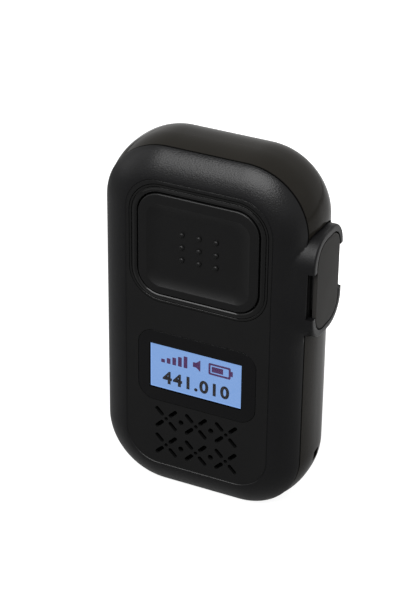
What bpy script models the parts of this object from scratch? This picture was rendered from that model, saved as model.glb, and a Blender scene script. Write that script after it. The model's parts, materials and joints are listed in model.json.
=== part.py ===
"""Body-worn portable radio: two case shells, push-to-talk button, display, speaker and belt clip.

Metres, +Z up. The front faces -Y and +X is to the right of someone who looks at the front.
The origin is the middle of the flat base that the radio stands on.
"""

import math

import bmesh
import bpy
from mathutils import Matrix, Vector

MM = 0.001

# Case: outline at the seam between the shells, and the depth from panel to back
CASE_WIDTH = 54.6 * MM
CASE_HEIGHT = 97.4 * MM
CASE_DEPTH = 22.0 * MM
CASE_CORNER = 16.6 * MM
BASE_LIFT = 0.15 * MM
FRONT_DEPTH = 4.2 * MM
CROWN_INSET = 7.25 * MM
CROWN_POWER = 1.45
SIDE_BULGE = 1.25 * MM
REAR_EDGE = 4.4 * MM
WALL = 1.8 * MM
PANEL_WALL = 1.6 * MM
CAVITY_INSET = 5.0 * MM
SEAM_GAP = 0.3 * MM

# Gap kept between pieces that rest on each other
GAP = 0.3 * MM

# Gasket at the seam
SEAL_OFFSET = 0.6 * MM
SEAL_WIDTH = 1.0 * MM
SEAL_DEPTH = 1.5 * MM

# Push-to-talk button and its ring
PTT_DROP = 24.95 * MM
PTT_WIDTH = 33.0 * MM
PTT_HEIGHT = 0.2844 * CASE_HEIGHT
PTT_CORNER = 6.2 * MM
PTT_TRAVEL = 0.8 * MM
PTT_SIDE_GAP = 0.4 * MM
PTT_RIM = 2.2 * MM
PTT_DISH = 0.5 * MM
PTT_EDGE = 0.4 * MM
PTT_FLANGE = 1.0 * MM
PTT_FLANGE_LIP = 0.8 * MM
PLUNGER_RADIUS = 3.0 * MM
PLUNGER_LENGTH = 2.0 * MM
NUB_PITCH_X = 4.68 * MM
NUB_PITCH_Z = 3.5 * MM
NUB_RISE = 0.5 * MM
NUB_RADIUS = 0.55 * MM
NUB_HEIGHT = 0.35 * MM
NUB_COUNT = 3
BEZEL_BAND = 1.45 * MM
BEZEL_PROUD = 0.5 * MM
BEZEL_FLANGE = 0.8 * MM
BEZEL_LIP = 0.9 * MM
SWITCH_SIZE = 7.0 * MM
SWITCH_HEIGHT = 1.3 * MM
SWITCH_SPARE = 0.1 * MM
ACTUATOR_RADIUS = 1.7 * MM

# Display
LENS_RISE = 37.1 * MM
LENS_WIDTH = 33.0 * MM
LENS_HEIGHT = 20.6 * MM
LENS_CORNER = 4.5 * MM
LENS_THICK = 0.6 * MM
GLASS_WIDTH = 26.7 * MM
GLASS_HEIGHT = 14.2 * MM
GLASS_CORNER = 0.6 * MM
LCD_BORDER = 2.1 * MM
LCD_THICK = 1.5 * MM
LCD_FRAME_WALL = 2.5 * MM
LCD_FRAME_THICK = 1.4 * MM

# Speaker and its grille of crossed slots
GRILLE_RISE = 17.57 * MM
GRILLE_COLUMNS = 3
GRILLE_ROWS = 2
GRILLE_PITCH_X = 8.55 * MM
GRILLE_PITCH_Z = 8.15 * MM
GRILLE_REACH = 4.15 * MM
SLOT_LENGTH = 2.9 * MM
SLOT_WIDTH = 0.95 * MM
HUB_HOLE_RADIUS = 0.52 * MM
DOT_RADIUS = 0.75 * MM
CLOTH_MARGIN = 1.4 * MM
CLOTH_THICK = 0.3 * MM
SPEAKER_RADIUS = 9.8 * MM
SPEAKER_RIM = 1.5 * MM
SPEAKER_GASKET = 0.8 * MM
BASKET_FLANGE = 0.8 * MM
BASKET_WALL = 0.7 * MM
BASKET_DEPTH = 3.6 * MM
CONE_THICK = 0.3 * MM
CONE_DEPTH = 1.1 * MM
MAGNET_RADIUS = 4.3 * MM
MAGNET_LENGTH = 2.6 * MM

# Microphone behind a hole in the underside
MIC_X = -8.0 * MM
MIC_RADIUS = 1.9 * MM
MIC_LENGTH = 3.0 * MM
MIC_BOOT_WALL = 0.7 * MM
MIC_SET_BACK = 0.9 * MM
MIC_HOLE_RADIUS = 0.6 * MM

# Main board, and the posts that hold it between the shells
BOARD_STANDOFF = 7.0 * MM
BOARD_SIDE_MARGIN = 4.55 * MM
BOARD_END_MARGIN = 3.7 * MM
BOARD_THICK = 1.0 * MM
SHIELD_WIDTH = 26.0 * MM
SHIELD_HEIGHT = 18.0 * MM
SHIELD_DEPTH = 2.6 * MM
POST_RADIUS = 1.9 * MM
PILLAR_RADIUS = 2.4 * MM
TOP_SCREW_X = 9.0 * MM
TOP_SCREW_DROP = 6.0 * MM
LOW_SCREW_INSET = 10.5 * MM
LOW_SCREW_RISE = 9.2 * MM
SCREW_RADIUS = 1.0 * MM
SCREW_HEAD_RADIUS = 1.9 * MM
SCREW_HEAD = 1.4 * MM
SCREW_SUNK = 0.3 * MM
SCREW_BITE = 3.3 * MM
DRIVE_RADIUS = 0.85 * MM
DRIVE_DEPTH = 0.8 * MM

# Antenna coil between the top pillars
ANTENNA_RADIUS = 2.4 * MM
ANTENNA_WIRE = 0.9 * MM
ANTENNA_PITCH = 1.8 * MM
ANTENNA_TURNS = 5
ANTENNA_DROP = 7.7 * MM
ANTENNA_STANDOFF = 6.0 * MM
ANTENNA_LEAD = 5.0 * MM

# Battery
BATTERY_WIDTH = 34.0 * MM
BATTERY_HEIGHT = 48.0 * MM
BATTERY_THICK = 6.9 * MM
BATTERY_EDGE = 1.2 * MM
FOAM_MARGIN = 2.0 * MM

# Cradle contacts in the base
CHARGE_X = 7.0 * MM
CHARGE_RADIUS = 1.9 * MM
CHARGE_SUNK = 0.25 * MM
CHARGE_FLANGE = 0.8 * MM
CHARGE_LIP = 0.9 * MM

# Accessory port on the right side
PORT_DROP = 30.5 * MM
PORT_DEPTH = 18.3 * MM
PORT_HEIGHT = 27.1 * MM
PORT_CORNER = 7.0 * MM
PORT_PROUD = 2.7 * MM
PORT_EDGE = 0.6 * MM
PORT_WALL = 1.85 * MM
PORT_FLOOR = 1.9 * MM
NECK_STEP = 0.3 * MM
NOTCH_HEIGHT = 12.7 * MM
NOTCH_DEPTH = 1.45 * MM
COVER_THICK = 1.4 * MM
COVER_EDGE = 0.25 * MM
PORT_SEAL_WIDTH = 1.2 * MM
CONNECTOR_DEPTH = 8.4 * MM
CONNECTOR_HEIGHT = 14.4 * MM
CONNECTOR_CORNER = 1.0 * MM
CONNECTOR_FLANGE = 0.9 * MM
CONNECTOR_LIP = 0.8 * MM
CONTACT_COUNT = 4
CONTACT_PITCH = 2.9 * MM
CONTACT_ROW_GAP = 3.6 * MM
CONTACT_RADIUS = 0.45 * MM
CONTACT_RAIL = 0.6 * MM
CONTACT_PROUD = 0.1 * MM

# Keys on the left side, from the top down
KEY_NAMES = ("power", "volume_up", "volume_down")
KEY_DROP = 26.7 * MM
KEY_PITCH = 11.5 * MM
KEY_DEPTH = 4.0 * MM
KEY_HEIGHT = 8.0 * MM
KEY_CORNER = 1.6 * MM
KEY_PROUD = 0.5 * MM
KEY_EDGE = 0.35 * MM
KEY_TRAVEL = 0.5 * MM
KEY_FLANGE = 1.0 * MM
KEY_LIP = 1.0 * MM
KEY_SWITCH_LENGTH = 2.2 * MM
KEY_SWITCH_SIZE = 3.2 * MM
KEY_SWITCH_NUB = 0.9 * MM

# Strap slot at the lower right corner of the rear shell
STRAP_SLOT = 3.0 * MM
STRAP_RISE = 13.2 * MM
STRAP_BACK = 3.1 * MM
STRAP_BLOCK_WALL = 1.4 * MM
STRAP_REACH = 5.4 * MM

# Belt clip on the back
HINGE_DROP = 17.8 * MM
HINGE_STANDOFF = 4.0 * MM
CLIP_WIDTH = 15.6 * MM
CLIP_THICK = 1.6 * MM
CLIP_LUG_RADIUS = 2.25 * MM
CLIP_PLATE_GAP = 2.6 * MM
CLIP_ABOVE = 9.0 * MM
CLIP_BELOW = 50.0 * MM
CLIP_HOOK_HEIGHT = 7.0 * MM
CLIP_TIP_GAP = 0.5 * MM
CLIP_SIDE_GAP = 0.4 * MM
PIN_RADIUS = 1.0 * MM
PIN_END = 0.3 * MM
EAR_THICK = 2.5 * MM
EAR_SIZE = 6.6 * MM
BRACKET_WIDTH = 22.0 * MM
BRACKET_ABOVE = 9.0 * MM
BRACKET_BELOW = 11.0 * MM
BRACKET_THICK = 1.1 * MM
BRACKET_CORNER = 2.5 * MM
CLIP_SCREW_X = 5.0 * MM
CLIP_SCREW_DROP = 7.5 * MM
CLIP_SCREW_RADIUS = 0.9 * MM
CLIP_SCREW_HEAD = 1.2 * MM
CLIP_SCREW_HEAD_RADIUS = 1.7 * MM
SPRING_RADIUS = 1.9 * MM
SPRING_WIRE = 0.7 * MM
SPRING_PITCH = 1.3 * MM
SPRING_TURNS = 4.5
SPRING_LEG = 7.0 * MM
SPRING_ROOM = 0.6 * MM

# How finely round shapes are faceted
CORNER_STEPS = 7
CROWN_STEPS = 6
SIDE_STEPS = 6
EDGE_STEPS = 4
ROUND_SIDES = 16
SMALL_SIDES = 10
COIL_POINTS = 9

# Spare length of a cutter past the face that it opens
OVERCUT = 1.0 * MM

# Planes and centres that several pieces share
FACE_Y = -CASE_DEPTH / 2
BACK_Y = CASE_DEPTH / 2
SEAM_Y = FACE_Y + FRONT_DEPTH
REAR_RIM_Y = SEAM_Y + SEAM_GAP
PANEL_IN_Y = FACE_Y + PANEL_WALL
BACK_IN_Y = BACK_Y - WALL
SIDE_END_Y = BACK_Y - REAR_EDGE
SIDE_MID_Y = (SEAM_Y + SIDE_END_Y) / 2
LOW_Z = BASE_LIFT
TOP_Z = BASE_LIFT + CASE_HEIGHT
CENTRE_Z = (LOW_Z + TOP_Z) / 2
SIDE_X = CASE_WIDTH / 2
INNER_X = SIDE_X - WALL
BOARD_FRONT_Y = PANEL_IN_Y + BOARD_STANDOFF
BOARD_BACK_Y = BOARD_FRONT_Y + BOARD_THICK
PTT_Z = TOP_Z - PTT_DROP
LENS_Z = LOW_Z + LENS_RISE
GRILLE_Z = LOW_Z + GRILLE_RISE
PORT_Z = TOP_Z - PORT_DROP
PORT_Y = SIDE_MID_Y
PORT_X = SIDE_X + PORT_PROUD
PORT_FLOOR_X = INNER_X + PORT_FLOOR
COVER_IN_X = PORT_X - COVER_THICK
BATTERY_BACK_Y = BACK_IN_Y - GAP
BATTERY_FRONT_Y = BATTERY_BACK_Y - BATTERY_THICK
HINGE_Y = BACK_Y + HINGE_STANDOFF
HINGE_Z = TOP_Z - HINGE_DROP
BRACKET_IN_Y = BACK_Y + GAP
BRACKET_OUT_Y = BRACKET_IN_Y + BRACKET_THICK
BORE_RADIUS = SCREW_RADIUS + GAP
SCREW_SPOTS = [
    (-TOP_SCREW_X, TOP_Z - TOP_SCREW_DROP),
    (TOP_SCREW_X, TOP_Z - TOP_SCREW_DROP),
    (LOW_SCREW_INSET - SIDE_X, LOW_Z + LOW_SCREW_RISE),
    (SIDE_X - LOW_SCREW_INSET, LOW_Z + LOW_SCREW_RISE),
]

# Turns from a shape's own XYZ to the world: its Z becomes the named direction
FACING = {
    "X": Matrix(((0, 0, 1, 0), (1, 0, 0, 0), (0, 1, 0, 0), (0, 0, 0, 1))),
    "Y": Matrix(((1, 0, 0, 0), (0, 0, -1, 0), (0, 1, 0, 0), (0, 0, 0, 1))),
    "Z": Matrix.Identity(4),
}


def start_scene():
    """Empties the scene and makes the collections for the parts and for the cutters."""
    for old in list(bpy.data.objects):
        bpy.data.objects.remove(old, do_unlink=True)
    groups = []
    for name in ("portable_radio", "cutters"):
        group = bpy.data.collections.new(name)
        bpy.context.scene.collection.children.link(group)
        groups.append(group)
    return groups


PARTS, CUTTERS = start_scene()


def finish(name, colour, roughness, metallic=0.0):
    """A plain material of one colour."""
    material = bpy.data.materials.new(name)
    material.use_nodes = True
    shader = material.node_tree.nodes["Principled BSDF"]
    shader.inputs["Base Color"].default_value = (*colour, 1.0)
    shader.inputs["Roughness"].default_value = roughness
    shader.inputs["Metallic"].default_value = metallic
    material.diffuse_color = (*colour, 1.0)
    return material


SHELL = finish("shell_plastic", (0.016, 0.016, 0.017), 0.55)
REAR = finish("rear_plastic", (0.020, 0.019, 0.017), 0.22)
BUTTON = finish("button_plastic", (0.018, 0.018, 0.018), 0.5)
TRIM = finish("bezel_plastic", (0.012, 0.012, 0.013), 0.25)
LENS = finish("lens_acrylic", (0.006, 0.006, 0.008), 0.08)
SCREEN = finish("screen_blue", (0.23, 0.40, 0.76), 0.3)
COVER = finish("cover_rubber", (0.045, 0.043, 0.041), 0.7)
RUBBER = finish("black_rubber", (0.02, 0.02, 0.02), 0.8)
NYLON = finish("black_nylon", (0.03, 0.03, 0.03), 0.6)
CLOTH = finish("dust_cloth", (0.01, 0.01, 0.01), 0.95)
PAPER = finish("cone_paper", (0.05, 0.05, 0.05), 0.9)
FERRITE = finish("ferrite", (0.08, 0.08, 0.085), 0.5, 0.6)
BOARD = finish("board_green", (0.02, 0.12, 0.06), 0.45)
TIN = finish("tinned_steel", (0.6, 0.6, 0.6), 0.3, 1.0)
STEEL = finish("dark_steel", (0.12, 0.12, 0.125), 0.35, 1.0)
GOLD = finish("gold_plate", (0.85, 0.62, 0.25), 0.25, 1.0)
CELL = finish("battery_wrap", (0.05, 0.09, 0.2), 0.4)
FOAM = finish("foam", (0.06, 0.06, 0.06), 0.95)


def add_object(name, mesh, material=None):
    """Adds a mesh as a part, or as a cutter where it has no material."""
    obj = bpy.data.objects.new(name, mesh)
    if material is None:
        CUTTERS.objects.link(obj)
        obj.hide_render = True
        obj.display_type = "WIRE"
    else:
        mesh.materials.append(material)
        PARTS.objects.link(obj)
        mesh.shade_smooth()
        mesh.set_sharp_from_angle(angle=math.radians(35))
    return obj


def mesh_of(name, shape):
    """Turns a bmesh into a mesh."""
    mesh = bpy.data.meshes.new(name)
    shape.to_mesh(mesh)
    shape.free()
    return mesh


def modify(target, tool, operation):
    """Cuts the tool from the target, or joins it to the target."""
    boolean = target.modifiers.new(tool.name, "BOOLEAN")
    boolean.operation = operation
    boolean.solver = "EXACT"
    boolean.object = tool


def cut(target, *tools):
    """Cuts each tool out of the target."""
    for tool in tools:
        modify(target, tool, "DIFFERENCE")


def fuse(target, *tools):
    """Makes each tool one body with the target."""
    for tool in tools:
        modify(target, tool, "UNION")


def arc(centre, radius, start, end, steps):
    """Points along an arc, with angles in degrees."""
    points = []
    for step in range(steps + 1):
        angle = math.radians(start + (end - start) * step / steps)
        points.append((centre[0] + radius * math.cos(angle), centre[1] + radius * math.sin(angle)))
    return points


def rounded_rectangle(width, height, radius, steps=CORNER_STEPS):
    """Outline of a rectangle with round corners, about its centre."""
    across, along = width / 2 - radius, height / 2 - radius
    points = arc((across, along), radius, 0, 90, steps)
    points += arc((-across, along), radius, 90, 180, steps)
    points += arc((-across, -along), radius, 180, 270, steps)
    points += arc((across, -along), radius, 270, 360, steps)
    return points


def loft(name, sections, axis, centre, material=None, ring=False, steps=CORNER_STEPS):
    """Skins rounded rectangles of unlike size, each (width, height, radius, place along the axis).

    Along Y a section's width runs along X; along X it runs along Y. Its height runs along Z.
    A ring closes on its own first section, and any other loft is capped at both ends.
    """
    shape = bmesh.new()
    loops = []
    for width, height, radius, place in sections:
        outline = rounded_rectangle(width, height, radius, steps)
        if axis == "Y":
            loops.append([shape.verts.new((u, place, v)) for u, v in outline])
        else:
            loops.append([shape.verts.new((place, u, v)) for u, v in outline])
    pairs = list(zip(loops, loops[1:]))
    if ring:
        pairs.append((loops[-1], loops[0]))
    else:
        shape.faces.new(loops[0])
        shape.faces.new(loops[-1])
    for near, far in pairs:
        for index in range(len(near)):
            after = (index + 1) % len(near)
            shape.faces.new((near[index], near[after], far[after], far[index]))
    bmesh.ops.recalc_face_normals(shape, faces=shape.faces)
    obj = add_object(name, mesh_of(name, shape), material)
    obj.location = centre
    return obj


def plate(name, outline, thick, centre, axis, material=None):
    """A flat outline of the given thickness, with its middle at the centre."""
    curve = bpy.data.curves.new(name, "CURVE")
    curve.dimensions = "2D"
    curve.fill_mode = "BOTH"
    curve.extrude = thick / 2
    spline = curve.splines.new("POLY")
    spline.points.add(len(outline) - 1)
    for point, (u, v) in zip(spline.points, outline):
        point.co = (u, v, 0, 1)
    spline.use_cyclic_u = True
    guide = bpy.data.objects.new(name + "_outline", curve)
    CUTTERS.objects.link(guide)
    bpy.context.view_layer.update()
    evaluated = guide.evaluated_get(bpy.context.evaluated_depsgraph_get())
    mesh = bpy.data.meshes.new_from_object(evaluated)
    bpy.data.objects.remove(guide)
    shape = bmesh.new()
    shape.from_mesh(mesh)
    bmesh.ops.remove_doubles(shape, verts=shape.verts, dist=1e-6)
    bmesh.ops.recalc_face_normals(shape, faces=shape.faces)
    shape.to_mesh(mesh)
    shape.free()
    mesh.materials.clear()
    obj = add_object(name, mesh, material)
    obj.matrix_world = Matrix.Translation(centre) @ FACING[axis]
    return obj


def box(name, low, high, material=None, edge=0.0):
    """A box between two corners, with its edges rounded if asked."""
    low, high = Vector(low), Vector(high)
    shape = bmesh.new()
    bmesh.ops.create_cube(shape, size=1.0)
    bmesh.ops.scale(shape, vec=high - low, verts=shape.verts)
    obj = add_object(name, mesh_of(name, shape), material)
    obj.location = (low + high) / 2
    if edge:
        bevel = obj.modifiers.new("edges", "BEVEL")
        bevel.width = edge
        bevel.segments = 2
    return obj


def rod(name, radius, start, end, axis, material=None, sides=ROUND_SIDES, tip_radius=None):
    """A round bar from start to end along an axis, straight or tapered."""
    start, end = Vector(start), Vector(end)
    shape = bmesh.new()
    far = radius if tip_radius is None else tip_radius
    bmesh.ops.create_cone(
        shape, cap_ends=True, segments=sides, radius1=radius, radius2=far, depth=(end - start).length
    )
    obj = add_object(name, mesh_of(name, shape), material)
    obj.matrix_world = Matrix.Translation((start + end) / 2) @ FACING[axis]
    return obj


def turned(name, profile, centre, axis, material=None, closed=False, steps=ROUND_SIDES):
    """A profile of (radius, height) pairs, run from top to bottom outside, turned about an axis."""
    shape = bmesh.new()
    points = [shape.verts.new((radius, 0, height)) for radius, height in profile]
    pairs = list(zip(points, points[1:]))
    if closed:
        pairs.append((points[-1], points[0]))
    for pair in pairs:
        shape.edges.new(pair)
    obj = add_object(name, mesh_of(name, shape), material)
    screw = obj.modifiers.new("turn", "SCREW")
    screw.steps = steps
    screw.render_steps = steps
    screw.use_merge_vertices = True
    screw.merge_threshold = 1e-6
    obj.matrix_world = Matrix.Translation(centre) @ FACING[axis]
    return obj


def wire(name, points, diameter, centre, material):
    """A round wire along points given from its own centre."""
    curve = bpy.data.curves.new(name, "CURVE")
    curve.dimensions = "3D"
    curve.bevel_depth = diameter / 2
    curve.bevel_resolution = 1
    curve.use_fill_caps = True
    curve.materials.append(material)
    spline = curve.splines.new("POLY")
    spline.points.add(len(points) - 1)
    for point, place in zip(spline.points, points):
        point.co = (*place, 1)
    obj = bpy.data.objects.new(name, curve)
    obj.location = centre
    PARTS.objects.link(obj)
    return obj


def print_least_gap(name, points, diameter, points_per_turn):
    """Prints how near a wound wire comes to itself, between points over half a turn apart."""
    places = [Vector(point) for point in points]
    least = math.inf
    for index, place in enumerate(places):
        for other in places[index + points_per_turn // 2 + 1:]:
            least = min(least, (place - other).length)
    print(f"{name}: least gap to itself {(least - diameter) / MM:.2f} mm")


def merged(name, shapes):
    """Joins separate cutters into one object."""
    whole = bmesh.new()
    bpy.context.view_layer.update()
    for obj in shapes:
        mesh = obj.data.copy()
        mesh.transform(obj.matrix_world)
        whole.from_mesh(mesh)
        bpy.data.meshes.remove(mesh)
        bpy.data.objects.remove(obj)
    return add_object(name, mesh_of(name, whole))


def case_section(inset, place):
    """Case outline drawn in by an inset, at a place along Y."""
    corner = CASE_CORNER - inset
    return (CASE_WIDTH - 2 * inset, CASE_HEIGHT - 2 * inset, corner, place)


def crown(inset_from, inset_to, depth, steps):
    """Sections of a crowned edge that leaves the seam along Y and turns flat at its depth."""
    power = 2 / CROWN_POWER
    sections = []
    for step in range(steps + 1):
        angle = math.pi / 2 * step / steps
        inset = inset_from + (inset_to - inset_from) * (1 - math.cos(angle) ** power)
        if step == steps:
            inset = inset_to
        sections.append(case_section(inset, SEAM_Y - depth * math.sin(angle) ** power))
    return sections


def screw_set(prefix, spots, head_y, head, head_radius, shank_end_y, radius, material):
    """Screws that run along Y, with a cross-shaped drive in each head."""
    for label, (x, z) in spots.items():
        profile = [
            (0, head_y + head),
            (head_radius, head_y + head),
            (head_radius, head_y),
            (radius, head_y),
            (radius, shank_end_y),
            (0, shank_end_y),
        ]
        flipped = [(r, -y) for r, y in reversed(profile)]
        screw = turned(f"{prefix}_{label}", flipped, (x, 0, z), "Y", material, steps=ROUND_SIDES)
        top = head_y + head
        drive = rod(
            f"{prefix}_{label}_drive",
            DRIVE_RADIUS,
            (x, top - DRIVE_DEPTH, z),
            (x, top + OVERCUT, z),
            "Y",
            sides=6,
        )
        cut(screw, drive)


def front_shell():
    """Front half of the case, with the boss of the accessory port on its right side."""
    sections = crown(0, CROWN_INSET, FRONT_DEPTH, CROWN_STEPS)
    shell = loft("front_shell", sections, "Y", (0, 0, CENTRE_Z), SHELL)

    boss_sections = [(PORT_DEPTH, PORT_HEIGHT, PORT_CORNER, INNER_X - PORT_WALL * 2)]
    for step in range(EDGE_STEPS + 1):
        angle = math.pi / 2 * step / EDGE_STEPS
        inset = PORT_EDGE * (1 - math.cos(angle))
        place = PORT_X - PORT_EDGE * (1 - math.sin(angle))
        boss_sections.append((PORT_DEPTH - 2 * inset, PORT_HEIGHT - 2 * inset, PORT_CORNER - inset, place))
    boss = loft("port_boss", boss_sections, "X", (0, PORT_Y, PORT_Z))
    neck = neck_plate("port_neck", 0, INNER_X - PORT_WALL, SIDE_X - NECK_STEP, SEAM_Y - NECK_STEP)
    fuse(shell, boss, neck)

    cavity_sections = [case_section(WALL, BACK_Y)]
    cavity_sections += crown(WALL, CAVITY_INSET, FRONT_DEPTH - PANEL_WALL, CROWN_STEPS // 2)
    cut(shell, loft("front_cavity", cavity_sections, "Y", (0, 0, CENTRE_Z)))

    well = (PORT_DEPTH - 2 * PORT_WALL, PORT_HEIGHT - 2 * PORT_WALL, PORT_CORNER - PORT_WALL)
    well_cut = loft(
        "port_well",
        [(*well, PORT_FLOOR_X), (*well, PORT_X + OVERCUT)],
        "X",
        (0, PORT_Y, PORT_Z),
    )
    notch_cut = box(
        "port_notches",
        (PORT_X - NOTCH_DEPTH, PORT_Y - PORT_DEPTH, PORT_Z - NOTCH_HEIGHT / 2),
        (PORT_X + OVERCUT, PORT_Y + PORT_DEPTH, PORT_Z + NOTCH_HEIGHT / 2),
    )
    connector_cut = plate(
        "connector_hole",
        rounded_rectangle(
            CONNECTOR_DEPTH + 2 * GAP, CONNECTOR_HEIGHT + 2 * GAP, CONNECTOR_CORNER + GAP, EDGE_STEPS
        ),
        PORT_FLOOR + 2 * OVERCUT,
        (INNER_X + PORT_FLOOR / 2, PORT_Y, PORT_Z),
        "X",
    )
    cut(shell, well_cut, notch_cut, connector_cut)
    cut(shell, *panel_cutters())
    for index, (x, z) in enumerate(SCREW_SPOTS, 1):
        post_end = BOARD_FRONT_Y - GAP
        post = rod(f"post_{index}", POST_RADIUS, (x, PANEL_IN_Y - GAP, z), (x, post_end, z), "Y")
        bore_start = post_end - SCREW_BITE - GAP
        bore = rod(f"post_bore_{index}", BORE_RADIUS, (x, bore_start, z), (x, post_end + OVERCUT, z), "Y")
        fuse(shell, post)
        cut(shell, bore)
    return shell


def neck_plate(name, spread, low_x, high_x, front_y):
    """Tongue in the rear shell's slot under the port boss, square in front and round behind."""
    half = PORT_HEIGHT / 2 + spread
    radius = PORT_CORNER + spread
    rear = PORT_DEPTH / 2 + spread
    front = front_y - PORT_Y
    outline = [(front, -half)]
    outline += arc((rear - radius, -half + radius), radius, 270, 360, CORNER_STEPS)
    outline += arc((rear - radius, half - radius), radius, 0, 90, CORNER_STEPS)
    outline += [(front, half)]
    return plate(name, outline, high_x - low_x, ((low_x + high_x) / 2, PORT_Y, PORT_Z), "X")


def panel_cutters():
    """Openings in the flat panel: button, display, grille and the microphone's hole."""
    middle_y = FACE_Y + PANEL_WALL / 2
    through = PANEL_WALL + 2 * OVERCUT
    bezel = bezel_size(GAP)
    button = plate("ptt_hole", rounded_rectangle(*bezel), through, (0, middle_y, PTT_Z), "Y")
    recess_depth = LENS_THICK + GAP
    recess = plate(
        "lens_recess",
        rounded_rectangle(LENS_WIDTH + 2 * GAP, LENS_HEIGHT + 2 * GAP, LENS_CORNER + GAP),
        recess_depth + OVERCUT,
        (0, FACE_Y + (recess_depth - OVERCUT) / 2, LENS_Z),
        "Y",
    )
    window = plate(
        "lens_window",
        rounded_rectangle(GLASS_WIDTH + 2 * GAP, GLASS_HEIGHT + 2 * GAP, GLASS_CORNER + GAP, EDGE_STEPS),
        through,
        (0, middle_y, LENS_Z),
        "Y",
    )
    mic_y = SEAM_Y - SEAL_DEPTH
    mic = rod(
        "mic_hole",
        MIC_HOLE_RADIUS,
        (MIC_X, mic_y, -OVERCUT),
        (MIC_X, mic_y, BASE_LIFT + CAVITY_INSET),
        "Z",
        sides=SMALL_SIDES,
    )
    return button, recess, window, grille_cutter(middle_y, through), mic


def grille_cutter(middle_y, through):
    """Crossed slots with a hole at each crossing, and dots between the crossings of a row."""
    slot = rounded_rectangle(SLOT_LENGTH, SLOT_WIDTH, SLOT_WIDTH / 2, 2)
    middle = (GRILLE_REACH * 2 - SLOT_LENGTH) / 2
    pieces = []
    for row in range(GRILLE_ROWS):
        z = GRILLE_Z + (row - (GRILLE_ROWS - 1) / 2) * GRILLE_PITCH_Z
        for column in range(GRILLE_COLUMNS):
            x = (column - (GRILLE_COLUMNS - 1) / 2) * GRILLE_PITCH_X
            for quarter in range(4):
                angle = math.radians(45 + 90 * quarter)
                turn = Matrix.Rotation(angle, 2)
                outline = [turn @ Vector((u + middle, v)) for u, v in slot]
                pieces.append(plate("slot", outline, through, (x, middle_y, z), "Y"))
            hub = arc((0, 0), HUB_HOLE_RADIUS, 0, 315, 7)
            pieces.append(plate("hub_hole", hub, through, (x, middle_y, z), "Y"))
            if column:
                dot = arc((-GRILLE_PITCH_X / 2, 0), DOT_RADIUS, 0, 324, 9)
                pieces.append(plate("dot", dot, through, (x, middle_y, z), "Y"))
    return merged("grille_slots", pieces)


def rear_shell():
    """Rear half of the case, barrelled round its sides and flat at its base."""
    sections = [case_section(0, REAR_RIM_Y)]
    for step in range(1, SIDE_STEPS):
        share = step / SIDE_STEPS
        swell = -4 * SIDE_BULGE * share * (1 - share)
        sections.append(case_section(swell, REAR_RIM_Y + (SIDE_END_Y - REAR_RIM_Y) * share))
    for step in range(EDGE_STEPS + 1):
        angle = math.pi / 2 * step / EDGE_STEPS
        inset = REAR_EDGE * (1 - math.cos(angle))
        sections.append(case_section(inset, SIDE_END_Y + REAR_EDGE * math.sin(angle)))
    shell = loft("rear_shell", sections, "Y", (0, 0, CENTRE_Z), REAR)

    cavity = [
        case_section(WALL, FACE_Y),
        case_section(WALL, BACK_IN_Y - WALL),
        case_section(WALL * 2, BACK_IN_Y),
    ]
    base_cut = box("base_plane", (-CASE_WIDTH, -CASE_DEPTH, -CASE_DEPTH), (CASE_WIDTH, CASE_DEPTH, 0))
    slot = neck_plate("port_slot", GAP, INNER_X - WALL, PORT_X + OVERCUT, FACE_Y)
    cut(shell, loft("rear_cavity", cavity, "Y", (0, 0, CENTRE_Z)), base_cut, slot)

    for index, (x, z) in enumerate(SCREW_SPOTS, 1):
        head_floor_y = BACK_Y - SCREW_SUNK - SCREW_HEAD - GAP
        pillar = rod(
            f"pillar_{index}", PILLAR_RADIUS, (x, BOARD_BACK_Y + GAP, z), (x, BACK_IN_Y + GAP, z), "Y"
        )
        bore = rod(
            f"pillar_bore_{index}", BORE_RADIUS, (x, BOARD_FRONT_Y, z), (x, BACK_Y + OVERCUT, z), "Y"
        )
        sink_radius = SCREW_HEAD_RADIUS + GAP
        sink = rod(f"head_sink_{index}", sink_radius, (x, head_floor_y, z), (x, BACK_Y + OVERCUT, z), "Y")
        fuse(shell, pillar)
        cut(shell, bore, sink)

    key_slots = []
    for z in key_heights().values():
        outline = rounded_rectangle(
            KEY_DEPTH + 2 * GAP, KEY_HEIGHT + 2 * GAP, KEY_CORNER + GAP, EDGE_STEPS
        )
        deep = SIDE_BULGE + WALL + 2 * OVERCUT
        middle_x = -INNER_X - (SIDE_BULGE + WALL) / 2
        key_slots.append(plate("key_slot", outline, deep, (middle_x, SIDE_MID_Y, z), "X"))
    charge_holes = []
    for x in (-CHARGE_X, CHARGE_X):
        top = (x, 0, BASE_LIFT + WALL + OVERCUT)
        charge_holes.append(rod("charge_hole", CHARGE_RADIUS + GAP, (x, 0, -OVERCUT), top, "Z"))
    clip_holes = []
    for x, z in clip_screw_spots().values():
        low, high = (x, BACK_IN_Y - OVERCUT, z), (x, BACK_Y + OVERCUT, z)
        clip_holes.append(rod("clip_hole", CLIP_SCREW_RADIUS + GAP, low, high, "Y", sides=SMALL_SIDES))
    cut(shell, merged("key_slots", key_slots), merged("charge_holes", charge_holes))
    cut(shell, merged("clip_holes", clip_holes))
    strap_slot(shell)
    return shell


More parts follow.
